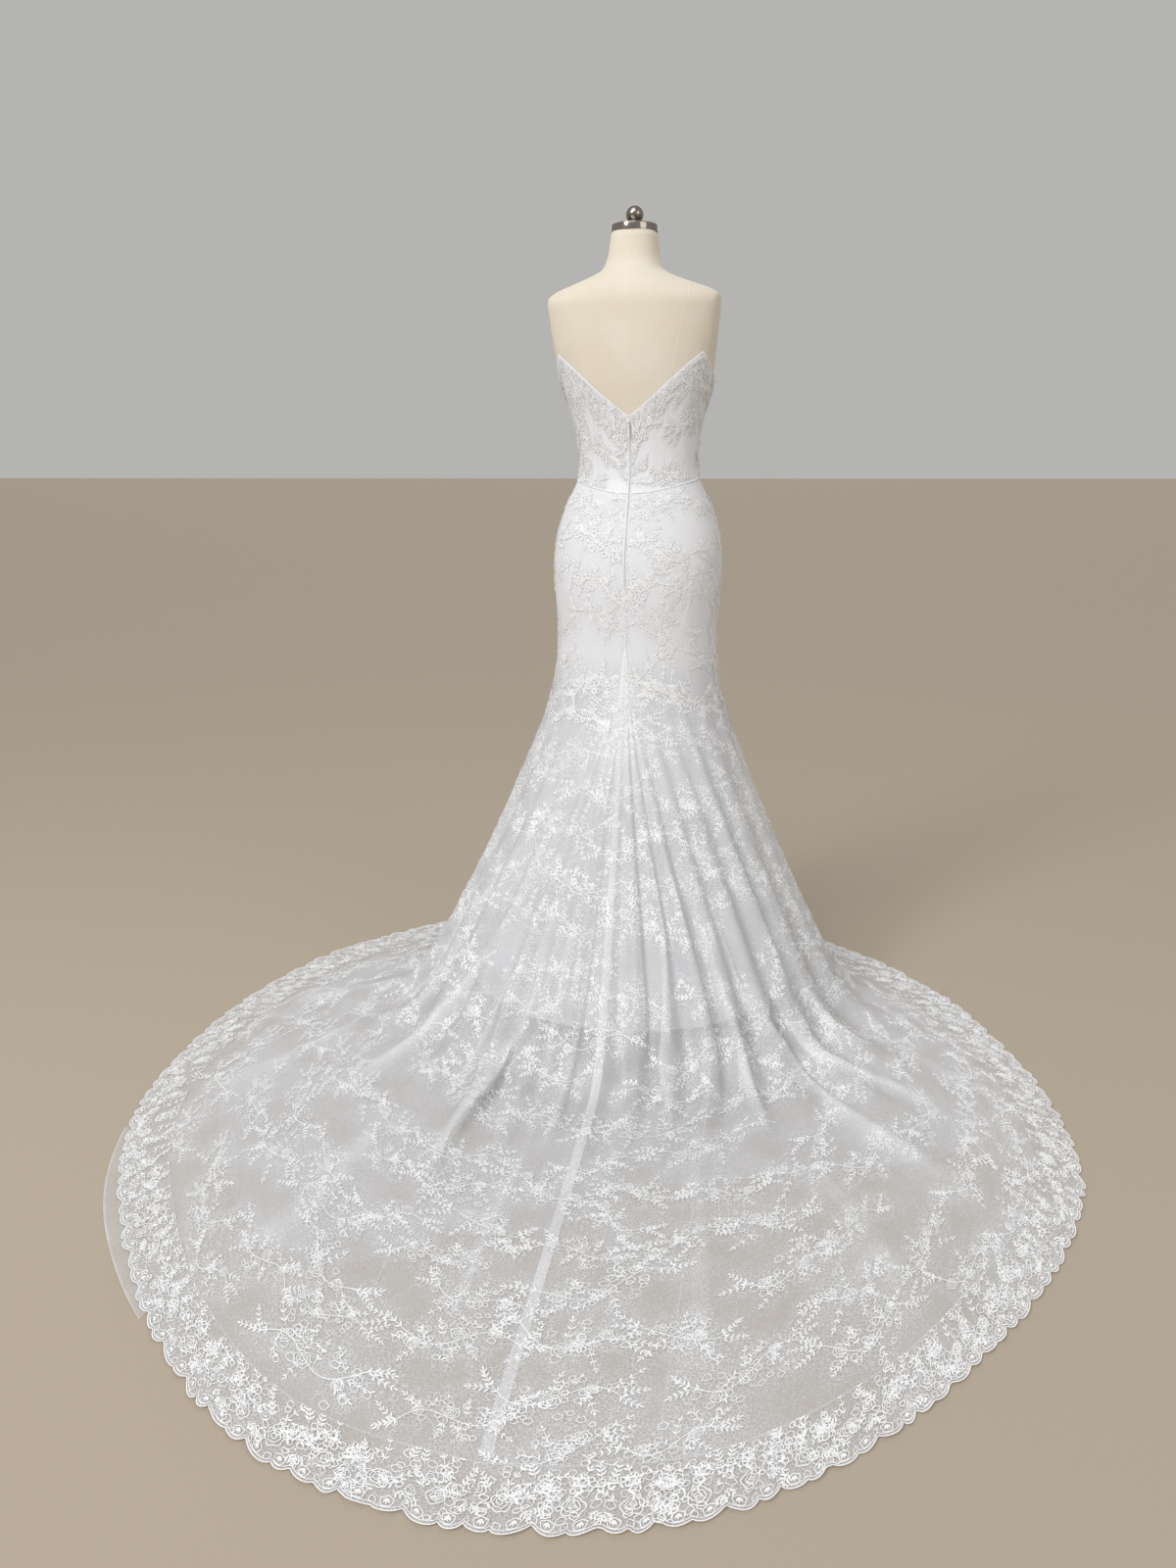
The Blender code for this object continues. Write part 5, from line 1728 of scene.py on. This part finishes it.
# ---- the border
@dataclass
class Border:
    """The scalloped lace border round the whole hem, and the plain tulle that shows beyond it."""

    wardrobe: Wardrobe
    step: float = 0.0036
    rows: int = 20
    small_depth: float = 0.0075

    def along(self, first: float, last: float) -> tuple[Array, Array, int]:
        """Places spaced evenly along the hem.

        Args:
            first: First gore.
            last: Last gore.

        Returns:
            Their gores, the length to each in lobes, and the number of lobes.
        """
        fine = np.linspace(first, last, 4001)
        edge = SHAPE.skirt(fine, 2.0)[:, :2]
        reach = np.concatenate(([0.0], np.cumsum(np.linalg.norm(np.diff(edge, axis=0), axis=1))))
        lobes = round(reach[-1] / SCALLOP_PITCH)
        place = np.linspace(0, reach[-1], int(reach[-1] / self.step) + 1)
        return np.interp(place, reach, fine), place / reach[-1] * lobes, lobes

    def edge(self, lobe: Array) -> Array:
        """How far the edge stands out: an uneven rounded lobe to each whole number, with two small ones on it.

        Args:
            lobe: Length along the hem in lobes.

        Returns:
            Distances past the hem's outline.
        """
        uneven = 1 + 0.3 * np.sin(1.9 * lobe) * np.sin(0.63 * lobe + 1.0)
        shifted = lobe + 0.09 * np.sin(2.3 * lobe) + 0.05 * np.sin(5.9 * lobe)
        large = 0.55 * SCALLOP_DEPTH * uneven * (np.abs(np.sin(math.pi * lobe)) ** 0.7 - 0.3)
        small = (1 + 0.35 * np.sin(3.7 * lobe)) * (np.abs(np.sin(math.tau * shifted)) ** 0.6 - 0.6)
        return large + self.small_depth * small

    def surface(self, gore: Array, beyond: Array) -> Array:
        """A point this far past the hem's outline along the gore line."""
        return SHAPE.skirt(gore, SHAPE.hem_row(gore, -beyond))

    def hem_grid(self, first: float, last: float) -> tuple[ClothMap, Array, int]:
        """The border's grid from under the panels' edge to the scalloped edge.

        Args:
            first: First gore.
            last: Last gore.

        Returns:
            The grid, each column's place in lobes, and the number of lobes.
        """
        gores, lobe, lobes = self.along(first, last)
        gore, share = np.meshgrid(gores, np.linspace(0.0, 1.0, self.rows))
        inset = -HEM_LACE - 0.003
        beyond = inset + (self.edge(lobe)[None] - inset) * share
        row = SHAPE.hem_row(gore, -beyond)
        relief, _ = SHAPE.skirt_relief(gore, row)
        normal = unit(np.cross(self.surface(gore + 1e-3, beyond) - self.surface(gore - 1e-3, beyond),
                               self.surface(gore, beyond + 1e-4) - self.surface(gore, beyond - 1e-4)))
        ripple = 0.0016 * smooth_step((share - 0.35) / 0.65) * (0.5 + 0.5 * np.sin(
            math.tau * (lobe * 1.31 + 0.9 * np.sin(lobe * 0.77))))[None]
        lift = WALL + np.maximum(relief * (1 - 0.6 * share), -0.0006) + ripple + 0.0005 * (share < 0.1)
        return ClothMap(self.surface(gore, beyond) + normal * lift[..., None], normal), lobe, lobes

    def unit_designs(self, rng: Draws) -> Library:
        """Eight designs for one lobe: roses, loops, leafy sprigs and vines.

        Args:
            rng: Draws the uneven sizes.

        Returns:
            Points and triangles of each, round the lobe's middle.
        """
        designs = []
        for _ in range(8):
            work = FlatWork()
            work.rose((rng.uniform(-0.006, 0.006), 0.056), rng.uniform(0.012, 0.015), rng)
            work.rose((0.034, rng.uniform(0.032, 0.042)), rng.uniform(0.009, 0.012), rng)
            work.loops((0.0, 0.046), (0.022, 0.02), 17, rng)
            work.loops((0.026, 0.062), (0.01, 0.008), 4, rng)
            for k, (at, heading, length) in enumerate((
                    ((0.004, 0.036), -1.9, 0.034), ((0.018, 0.04), -0.9, 0.028), ((-0.02, 0.05), -2.6, 0.024),
                    ((0.02, 0.066), 0.35, 0.022), ((-0.022, 0.066), 2.4, 0.018), ((-0.028, 0.022), -1.6, 0.026))):
                work.sprig(at, heading + rng.uniform(-0.3, 0.3), length, 3 + k % 2, rng.uniform(0.0085, 0.011),
                           rng.uniform(-0.6, 0.6))
            for _ in range(4):
                work.vine((rng.uniform(-0.034, 0.034), rng.uniform(0.014, 0.06)), rng.uniform(0, 6.28),
                          rng.uniform(0.028, 0.045), rng)
            designs.append(work.joined())
        return designs

    def fan(self) -> Parts:
        """The open loop with a fan of leaves in each small scallop.

        Returns:
            Points and triangles.
        """
        work = FlatWork()
        work.ring((0.0, -0.012), 0.0088, 5, 0.3, 0.0013, 0.85, 16)
        for k in range(-1, 2):
            work.leaf((0.0, -0.0165), math.pi / 2 + 0.55 * k, 0.0082, 0.0028)
        work.ring((0.018, -0.0085), 0.005, 4, 0.0, 0.0012, steps=11)
        return work.joined()

    def build(self, rng: Draws) -> None:
        """The three lengths of border with their embroidery.

        Args:
            rng: Draws the uneven sizes.
        """
        designs, fan = self.unit_designs(rng), self.fan()
        for name, first, last in HEM_PIECES:
            cloth, lobe, lobes = self.hem_grid(first, last)
            lace = LaceLayer(cloth=cloth)
            columns = np.arange(len(lobe))
            for k in range(lobes):
                lace.put((0.01, np.interp(k + 0.5, lobe, columns)), designs[rng.integers(len(designs))],
                         rng.uniform(0.95, 1.06), rng.uniform(-0.05, 0.05), rng.random() < 0.5)
                for place in (0.25, 0.75):
                    lace.put((self.rows - 1.01, np.interp(k + place, lobe, columns)), fan)
            parts = (lace.joined(), self.edge_cord(cloth, 0.0007, 0.0015), self.edge_cord(cloth, 0.005, 0.001))
            shift = np.cumsum([0] + [len(points) for points, _ in parts])
            add_piece(name + "_cloth", cloth.points, self.wardrobe.border, [name],
                      marks={"sheer": 1.0, "lace": cloth.density(FULLY_WORKED), "fold": 0.0})
            add_piece(name + "_embroidery", np.concatenate([points for points, _ in parts]), self.wardrobe.thread,
                      faces=[faces + start for (_, faces), start in zip(parts, shift)])

    def edge_cord(self, cloth: ClothMap, inset: float, width: float) -> Parts:
        """A cord that follows the scalloped edge.

        Args:
            cloth: The border's grid.
            inset: Its distance inside the edge.
            width: Its width.

        Returns:
            Points and triangles.
        """
        rows = (1 - inset / cloth.down[-1]) * (self.rows - 1)
        at, normal = cloth.on(rows, np.arange(len(rows), dtype=float))
        points, quads = cord_along(at + normal * 0.0005, normal, width, CORD_RISE)
        return points.reshape(-1, 3), np.concatenate((quads[:, :3], quads[:, (0, 2, 3)]))

    def tulle_beyond(self) -> None:
        """The crescent of plain tulle past the border on the wearer's left, 1 to 19 mm wide."""
        gores, lobe, _ = self.along(0.0, SIDE_TURN)
        edge = SHAPE.skirt(gores, 2.0)
        turns = np.degrees(np.arctan2(edge[:, 0], edge[:, 1]))
        inside = (turns > 19.0) & (turns < 42.0)
        gores, lobe = gores[inside], lobe[inside]
        gore, share = np.meshgrid(gores, np.linspace(0.0, 1.0, 8))
        start = self.edge(lobe)[None] - 0.012
        end = 0.001 + 0.018 * np.sin(math.pi * (gore - gores[0]) / (gores[-1] - gores[0])) + SCALLOP_DEPTH
        points = self.surface(gore, start + (end - start) * share)
        points[..., 2] = 0.001 + 0.0004 * np.sin(gore * 3.1) * share
        add_piece("tulle_underlay_cloth", points, self.wardrobe.tulle, ["tulle_underlay"],
                  marks={"sheer": 1.0, "lace": 0.0, "fold": smooth_step(share * 6 - 5)})


# ---- the bodice
@dataclass
class Bodice:
    """The seven panels of the bodice, its rolled edge, its waist seam and its embroidery."""

    wardrobe: Wardrobe
    rows: int = 64
    step: float = 1.0
    garland_step: float = 0.05
    garland: Pair = (0.56, 0.68)
    spacing: Pair = (0.108, 0.06)
    sprays: Pair = (0.6, 0.76)
    smooth_turn: float = 17.0

    def __post_init__(self) -> None:
        """Works out the bodice's whole grid, from the top edge down to the waist seam."""
        self.turns = np.arange(-184.0, 184.1, self.step)
        self.shares = np.linspace(0.0, 1.0, self.rows)
        turn, share = np.meshgrid(self.turns, self.shares)
        self.cloth = ClothMap(*self.shaped(turn, share, WORN_GAP + WALL))
        self.lace = LaceLayer(cloth=self.cloth, raised=1.8)

    def shaped(self, turn: Array, share: Array, out: float) -> Parts:
        """The creased surface of the bodice.

        Args:
            turn: Turns round it.
            share: 0 at the top edge and 1 at the waist seam.
            out: How far outside the body.

        Returns:
            Points and normals.
        """
        top, low = SHAPE.neckline_height(turn), SHAPE.waist_height(turn)
        height = top + (low - top) * share
        relief, _ = crease_relief(BODY_CREASES, height, folded_turn(turn))
        relief = relief - SEAM_GROOVE * np.exp(-((height - low) / 0.003) ** 2)
        normal = SHAPE.worn_normal(turn, height)
        return SHAPE.worn(turn, height, out=WORN_GAP) + normal * (out - WORN_GAP + relief)[..., None], normal

    def panels(self) -> None:
        """Each panel as a thin closed wall, with a soft groove along its seams.

        Columns crowd at both seams: across is t - 0.75 sin(2 pi t) / (2 pi).
        """
        density = self.cloth.density(2 * FULLY_WORKED)
        shares = np.concatenate((np.linspace(0, 0.94, 30), np.linspace(0.95, 1.006, 7)))
        for name, waist_first, waist_last, top_first, top_last in BODICE:
            t = np.linspace(0, 1, 37 if name == "bodice_front" else 19)
            across, share = np.meshgrid(t - 0.75 * np.sin(math.tau * t) / math.tau, shares)
            low = waist_first + (waist_last - waist_first) * across
            turn = low + (top_first + (top_last - top_first) * across - low) * (1 - share)
            inner, normal = self.shaped(turn, share, WORN_GAP)
            seam = np.minimum(across, 1 - across) * abs(waist_last - waist_first) / 1.6
            outer = inner + normal * (WALL - SEAM_GROOVE * np.exp(-seam ** 2))[..., None]
            points, quads = thin_wall(inner, outer)
            worked = self.cloth.sample(density, np.interp(share, self.shares, np.arange(self.rows)).ravel(),
                                       np.interp(folded_turn(turn), self.turns, np.arange(len(self.turns))).ravel())
            add_piece(name + "_cloth", points, self.wardrobe.fitted, [name], [quads],
                      {"lace": np.tile(worked, 2)})

    def embroider(self, library: Library, rng: Draws) -> None:
        """A garland along the top edge, then sprays over the rest, with smooth patches beside the zip.

        Args:
            library: The sprays.
            rng: Draws their places, sizes and turns.
        """
        reach = self.cloth.across[0]
        columns = np.arange(len(self.turns), dtype=float)
        for column in np.interp(np.arange(reach[0] + 0.03, reach[-1] - 0.02, self.garland_step), reach, columns):
            i = int(np.clip(round(column), 1, len(columns) - 2))
            rise = self.cloth.points[0, i + 1] - self.cloth.points[0, i - 1]
            row = 0.02 / self.cloth.down[-1, i] * (self.rows - 1)
            slope = -math.atan2(rise[2], math.hypot(rise[0], rise[1]))
            self.lace.strew((row, column), library, self.garland, slope, 0.15, rng)
        for row, column in scattered(self.cloth, (12.0, self.rows - 3.0), (4.0, len(columns) - 5.0),
                                     self.spacing, rng):
            beside = abs(np.interp(column, columns, self.turns)) < self.smooth_turn and row > 0.35 * self.rows
            if not (beside and rng.random() < 0.8):
                self.lace.strew((row, column), library, self.sprays, 0.0, 0.5, rng)

    def trimmings(self) -> None:
        """The lace as one piece, the rolled top edge and the piping in the waist seam."""
        points, faces = self.lace.joined()
        add_piece("lace_on_bodice", points, self.wardrobe.thread, faces=[faces])
        turns = np.arange(0.0, 360.0, 0.75)
        for name, height, radius, out in (
                ("rolled_top_edge", SHAPE.neckline_height(turns), 0.00115, WORN_GAP + WALL * 0.5),
                ("waist_piping", SHAPE.waist_height(turns), 0.0012, WORN_GAP + WALL)):
            tube, quads = tube_along(SHAPE.worn(turns, height, out=out), radius, closed=True)
            add_piece(name, tube, self.wardrobe.piping, faces=[quads])


# ---- the zip
@dataclass
class Zip:
    """The closed zip at the centre back: its tape, its teeth and the two folded lips beside it."""

    wardrobe: Wardrobe
    tape_width: float = 0.003
    tape_wall: float = 0.0005
    tooth_pitch: float = 0.0016
    tooth: tuple[float, float, float] = (0.0013, 0.00042, 0.00055)
    teeth_top: float = 1.184
    lip_radius: float = 0.0009
    lip_aside: float = 0.0015

    def surface(self, aside: Array, height: Array, lift: float) -> Array:
        """A point on the centre back, this far aside and this far off the body."""
        radius = SHAPE.body_radius(np.zeros(np.shape(height)), height)
        return SHAPE.worn(np.degrees(aside / radius), height, out=WORN_GAP + lift)

    def build(self) -> None:
        """The tape as a thin wall, the teeth as small wedges and the lips as tubes."""
        height, aside = np.meshgrid(np.linspace(ZIP_TOP, ZIP_END, 160), np.linspace(-0.5, 0.5, 5), indexing="ij")
        lift = WALL + SEAM_GAP
        faces = [self.surface(aside * self.tape_width, height, rise) for rise in (lift, lift + self.tape_wall)]
        points, quads = thin_wall(*faces)
        add_piece("zip_tape_cloth", points, self.wardrobe.zip_cloth, ["zip_tape"], [quads])
        self.teeth(lift + self.tape_wall)
        heights = np.linspace(NECK_BACK - 0.002, ZIP_END - 0.004, 180)
        closing = 1 - smooth_step((ZIP_END + 0.012 - heights) / 0.014)
        for side, sign in (("left", 1.0), ("right", -1.0)):
            path = self.surface(sign * (0.0004 + (self.lip_aside - 0.0004) * closing), heights, WALL + 0.0002)
            tube, quads = tube_along(path, self.lip_radius, closed=False)
            add_piece("zip_lip_" + side, tube, self.wardrobe.piping, faces=[quads])

    def teeth(self, lift: float) -> None:
        """Closed teeth, left and right by turns: each a block of 8 points, tapered to the middle.

        Args:
            lift: How far off the body they sit.
        """
        heights = np.arange(ZIP_END + 0.004, self.teeth_top, self.tooth_pitch / 2)
        side = np.where(np.arange(len(heights)) % 2 == 0, 1.0, -1.0)
        wide, tall, thick = self.tooth
        points = [self.surface(side * wide * reach, heights + way * rise, lift + up)
                  for up in (0.0, thick)
                  for way, reach, rise in ((1, 1.0, tall), (1, -0.25, tall * 0.7), (-1, -0.25, tall * 0.7),
                                           (-1, 1.0, tall))]
        box = np.array(((0, 1, 2, 3), (4, 7, 6, 5), (0, 4, 5, 1), (1, 5, 6, 2), (2, 6, 7, 3), (3, 7, 4, 0)))
        base = (np.arange(len(heights)) * 8)[:, None, None]
        faces = np.where((side > 0)[:, None, None], box[None, :, ::-1], box[None]) + base
        add_piece("zip_teeth", np.stack(points, 1), self.wardrobe.zip_metal, faces=[faces.reshape(-1, 4)])


# ---- the dress form
@dataclass
class DressForm:
    """The linen torso with its seams, its cap and ball, and the stand under the skirt."""

    wardrobe: Wardrobe
    columns: int = 160
    rings: int = 52

    def ring_table(self) -> Array:
        """The form's rings from the hips to the neck.

        Returns:
            Height, half breadth, back and front depth, side drop and bust share of each.
        """
        low = np.linspace(TORSO_BOTTOM, SHOULDER_START, 22)
        sizes = [smooth_table(BODY_SECTIONS, k, low) - FORM_INSET for k in (1, 2, 3)]
        body = np.column_stack((low, *sizes, np.zeros(22), np.full(22, FORM_BUST)))
        upper = np.array([(*row, 0.0) for row in SHOULDERS])
        return np.concatenate((body, upper))

    def torso_grid(self) -> Array:
        """Rings from the neck down to the hips: smooth curves through the table, cut by the arm planes.

        Returns:
            Points by ring and column.
        """
        rows = self.ring_table()[::-1]
        table = np.column_stack((np.arange(len(rows)), rows))
        fine = np.linspace(0, len(rows) - 1, self.rings * 2)
        height, breadth, back, front, drop, bust = (smooth_table(table, k, fine)[:, None] for k in range(1, 7))
        turns = np.arange(self.columns)[None] * 360.0 / self.columns
        radius = SHAPE.section_radius(turns, breadth, back, front) + SHAPE.bust(turns, height) * bust
        plan = plan_direction(turns) * radius[..., None] + SHAPE.lean(height)
        z = height - drop * np.abs(np.sin(np.radians(turns))) ** 2.2
        points = np.concatenate((plan, z[..., None]), -1)
        tilt = math.radians(ARM_TILT)
        for sign in (1.0, -1.0):
            out = np.array((sign * math.cos(tilt), 0.0, -math.sin(tilt)))
            centre = SHAPE.lean(ARM_HEIGHT)[0] + sign * (ARM_PLANE + 0.04 * (1 - math.cos(tilt)))
            past = (points - np.array((centre, 0.0, ARM_HEIGHT + 0.04 * math.sin(tilt)))) @ out
            points = points - out * soft_ramp(past, 0.0006)[..., None]
        return points

    def build(self) -> None:
        """The torso, closed by fans at its two ends, with its seams and caps."""
        points = self.torso_grid()
        rows, columns = points.shape[:2]
        count = rows * columns
        ring = np.arange(columns)
        ahead = np.roll(ring, -1)
        top = np.stack((ahead, ring, np.full(columns, count)), -1)
        low = np.stack((ring + count - columns, ahead + count - columns, np.full(columns, count + 1)), -1)
        whole = np.concatenate((points.reshape(-1, 3), points[[0, -1]].mean(1)))
        add_piece("form_torso_cover", whole, self.wardrobe.linen, ["form_torso"],
                  [grid_quads(rows, columns, closed=True), np.concatenate((top, low))])
        self.seams(points)
        self.metal()

    def seams(self, points: Array) -> None:
        """Raised seams: centre back and front, two princess seams on each side, and the neck's ring.

        The princess seams run from the shoulder's middle down and inwards to the waist.

        Args:
            points: The torso's grid.
        """
        normals = unit(np.cross(np.roll(points, -1, 1) - np.roll(points, 1, 1), np.gradient(points, axis=0)))
        cloth = ClothMap(*(np.concatenate((grid, grid[:, :1]), 1) for grid in (points, normals)))
        levels = self.ring_table()[::-1, 0]
        places = np.linspace(0, len(points) - 1, len(levels))
        rows = np.arange(2, int(len(points) * 0.97), dtype=float)
        heights = np.interp(rows, places, levels)
        princess = np.interp(heights, (0.78, 1.06, 1.2, 1.33, 1.42, 1.46), (40.0, 34.0, 38.0, 49.0, 58.0, 66.0))
        for key, turns in {
                "centre_back": 0.0 * heights, "centre_front": 180.0 + 0.0 * heights, "princess_back_left": princess,
                "princess_back_right": 360.0 - princess, "princess_front_left": 180.0 - princess,
                "princess_front_right": 180.0 + princess}.items():
            shown = rows if key.startswith("centre") else rows[heights < 1.456]
            self.tape(key, cloth, shown, turns[-len(shown):] * self.columns / 360.0, 0.0019, 0.0006)
        neck = np.full(self.columns, np.interp(-1.4745, -levels, places))
        self.tape("neck", cloth, neck, np.arange(self.columns, dtype=float), 0.0022, 0.0007, closed=True)

    def tape(self, key: str, cloth: ClothMap, rows: Array, columns: Array, width: float, rise: float,
             closed: bool = False) -> None:
        """One raised seam over the linen.

        Args:
            key: The end of the piece's name.
            cloth: The torso's grid.
            rows: The seam's rows in it.
            columns: Its columns.
            width: Its width.
            rise: Its height.
            closed: Whether it goes right round.
        """
        at, normal = cloth.on(rows, columns)
        strip, quads = cord_along(at + normal * 0.0001, normal, width, rise, closed)
        add_piece("form_seam_" + key, strip, self.wardrobe.linen_tape, faces=[quads])

    def metal(self) -> None:
        """The neck cap with its rounded rim, the ball on its stem, and the carried pole and base."""
        place = SHAPE.lean(NECK_TOP)
        low = NECK_TOP + SEAM_GAP
        high = low + CAP_HEIGHT
        a = np.radians(np.linspace(0, 90, 7))
        wide, narrow = 0.0026, 0.0008
        upper = np.stack((CAP_RADIUS - wide + wide * np.sin(a), high - wide + wide * np.cos(a)), -1)
        lower = np.stack((CAP_RADIUS - narrow * (1 - np.cos(a)), low + narrow * (1 - np.sin(a))), -1)
        cap = np.concatenate((((0.0002, high), (CAP_RADIUS * 0.6, high)), upper, lower, ((0.0002, low),)))
        base = high + SEAM_GAP
        centre = base + FINIAL_STEM + BALL_RADIUS * 0.9
        a = np.linspace(0.004, math.acos((base + FINIAL_STEM - centre) / BALL_RADIUS), 24)
        ball = np.stack((BALL_RADIUS * np.sin(a), centre + BALL_RADIUS * np.cos(a)), -1)
        stem = ((FINIAL_STEM_RADIUS * 0.8, base + FINIAL_STEM * 0.8), (FINIAL_STEM_RADIUS * 0.92, base + 0.0016),
                (FINIAL_STEM_RADIUS, base + 0.001), (FINIAL_STEM_RADIUS, base), (0.0002, base))
        for name, node, profile, steps in (("neck_cap", "form_neck_cap", cap, 96),
                                           ("finial_ball", "form_finial", np.concatenate((ball, stem)), 64)):
            points, quads = lathe(profile, steps, place)
            add_piece(name, points, self.wardrobe.steel, [node], [quads])
        for node, finish in (("form_pole", self.wardrobe.steel), ("form_base", self.wardrobe.enamel),
                             ("zip_slider", self.wardrobe.zip_metal), ("zip_pull_tab", self.wardrobe.zip_metal)):
            for slot in bpy.data.objects[node].material_slots:
                slot.material = finish
            LOG.info("%s carried with %s", node, finish.name)


# ---- the studio
class Lamp(Enum):
    """The kinds of lamp: a round panel near by, or even light from far off."""

    PANEL = "AREA"
    SKY = "SUN"


@dataclass(frozen=True)
class SoftLight:
    """A soft lamp; size is a panel's width in metres, or a sky's in degrees."""

    name: str
    kind: Lamp
    at: tuple[float, float, float]
    size: float
    power: float
    colour: Colour = (1.0, 1.0, 1.0)
    aimed: tuple[float, float, float] = (0.0, 0.4, 0.8)

    def hang(self) -> None:
        """Puts the lamp in the scene, turned to what it is aimed at."""
        lamp = bpy.data.lights.new(self.name, self.kind.value)
        lamp.energy, lamp.color = self.power, self.colour
        if self.kind is Lamp.PANEL:
            lamp.shape, lamp.size = "DISK", self.size
        else:
            lamp.angle = math.radians(self.size)
        made = bpy.data.objects.new(self.name, lamp)
        made.location = self.at
        made.rotation_euler = (Vector(self.aimed) - Vector(self.at)).to_track_quat("-Z", "Y").to_euler()
        bpy.context.scene.collection.objects.link(made)


@dataclass(frozen=True)
class Studio:
    """A plain pale floor, soft lights, and the camera."""

    floor: Colour = (0.425, 0.36, 0.285)
    camera_at: tuple[float, float, float] = (-0.468, 2.407, 1.09)
    heading: Pair = (0.2317, -0.9728)
    pitch: float = 14.64
    lens: float = 27.045

    def camera(self) -> None:
        """A level camera, pitched down."""
        lens = bpy.data.cameras.new("camera")
        lens.lens, lens.sensor_width, lens.sensor_fit = self.lens, 36.0, "AUTO"
        lens.clip_start, lens.clip_end = 0.05, 2000.0
        camera = bpy.data.objects.new("camera", lens)
        forward = Vector((*self.heading, 0.0)).normalized()
        p = math.radians(self.pitch)
        ahead = forward * math.cos(p) - Vector((0, 0, 1)) * math.sin(p)
        right = ahead.cross(Vector((0, 0, 1))).normalized()
        up = right.cross(ahead)
        turn = Matrix((right, up, -ahead)).transposed().to_4x4()
        camera.matrix_world = Matrix.Translation(self.camera_at) @ turn
        bpy.context.scene.collection.objects.link(camera)
        bpy.context.scene.camera = camera

    def ground(self) -> None:
        """A wide level floor in one pale tone with a faint nap."""
        x, y = np.meshgrid(np.linspace(-600, 600, 25), np.linspace(600, -600, 25))
        mesh = new_mesh("floor", np.stack((x, y, np.full(x.shape, -0.0002)), -1), [grid_quads(25, 25)])
        work = MaterialWork("floor")
        nap = work.noise(220.0, 3.0)
        low, high = (tuple(part * share for part in self.floor) for share in (0.97, 1.03))
        work.set(Base_Color=work.between(nap, low, high), Roughness=0.92, Specular_IOR_Level=0.15,
                 Normal=work.bump(nap, 0.0008, 0.25))
        mesh.materials.append(work.material)
        made = bpy.data.objects.new("floor", mesh)
        bpy.context.scene.collection.objects.link(made)

    def build(self) -> None:
        """Camera, floor, lights and an even surrounding light."""
        self.camera()
        self.ground()
        world = bpy.data.worlds.new("studio")
        bpy.context.scene.world = world
        world.use_nodes = True
        back = world.node_tree.nodes["Background"]
        back.inputs["Color"].default_value = (0.605, 0.6, 0.585, 1.0)
        back.inputs["Strength"].default_value = 0.76
        for light in (
                SoftLight("key", Lamp.PANEL, (1.9, 3.1, 2.9), 1.1, 56.0, (0.98, 0.99, 1.0), (0.0, 0.0, 1.1)),
                SoftLight("fill", Lamp.PANEL, (-3.2, 2.4, 2.4), 2.2, 19.0, (1.0, 0.99, 0.98), (0.0, 0.0, 1.0)),
                SoftLight("sky", Lamp.SKY, (0.8, 3.3, 3.4), 45.0, 1.15, (0.98, 0.99, 1.0), (0.0, 0.0, 0.0)),
                SoftLight("front", Lamp.SKY, (0.6, -3.8, 2.6), 60.0, 0.62, (1.0, 0.99, 0.98), (0.0, 0.0, 0.0))):
            light.hang()
        view = bpy.context.scene.view_settings
        view.view_transform, view.look, view.exposure, view.gamma = "Standard", "None", 0.0, 1.0


def main() -> None:
    """Builds the dress, its form and the studio, in order."""
    logging.basicConfig(level=logging.INFO, format="%(name)s: %(message)s")
    rng = np.random.default_rng(1402)
    wardrobe = Wardrobe()
    library = spray_library(rng)
    bold_library = spray_library(np.random.default_rng(77), 1.7)
    skirt = Skirt(wardrobe)
    skirt.embroider(library, bold_library, rng)
    skirt.panels()
    skirt.lace_pieces()
    skirt.seams()
    skirt.lining()
    skirt.petticoat()
    border = Border(wardrobe)
    border.build(rng)
    border.tulle_beyond()
    bodice = Bodice(wardrobe)
    bodice.embroider(bold_library, rng)
    bodice.panels()
    bodice.trimmings()
    Zip(wardrobe).build()
    DressForm(wardrobe).build()
    Studio().build()


if __name__ == "__main__":
    main()
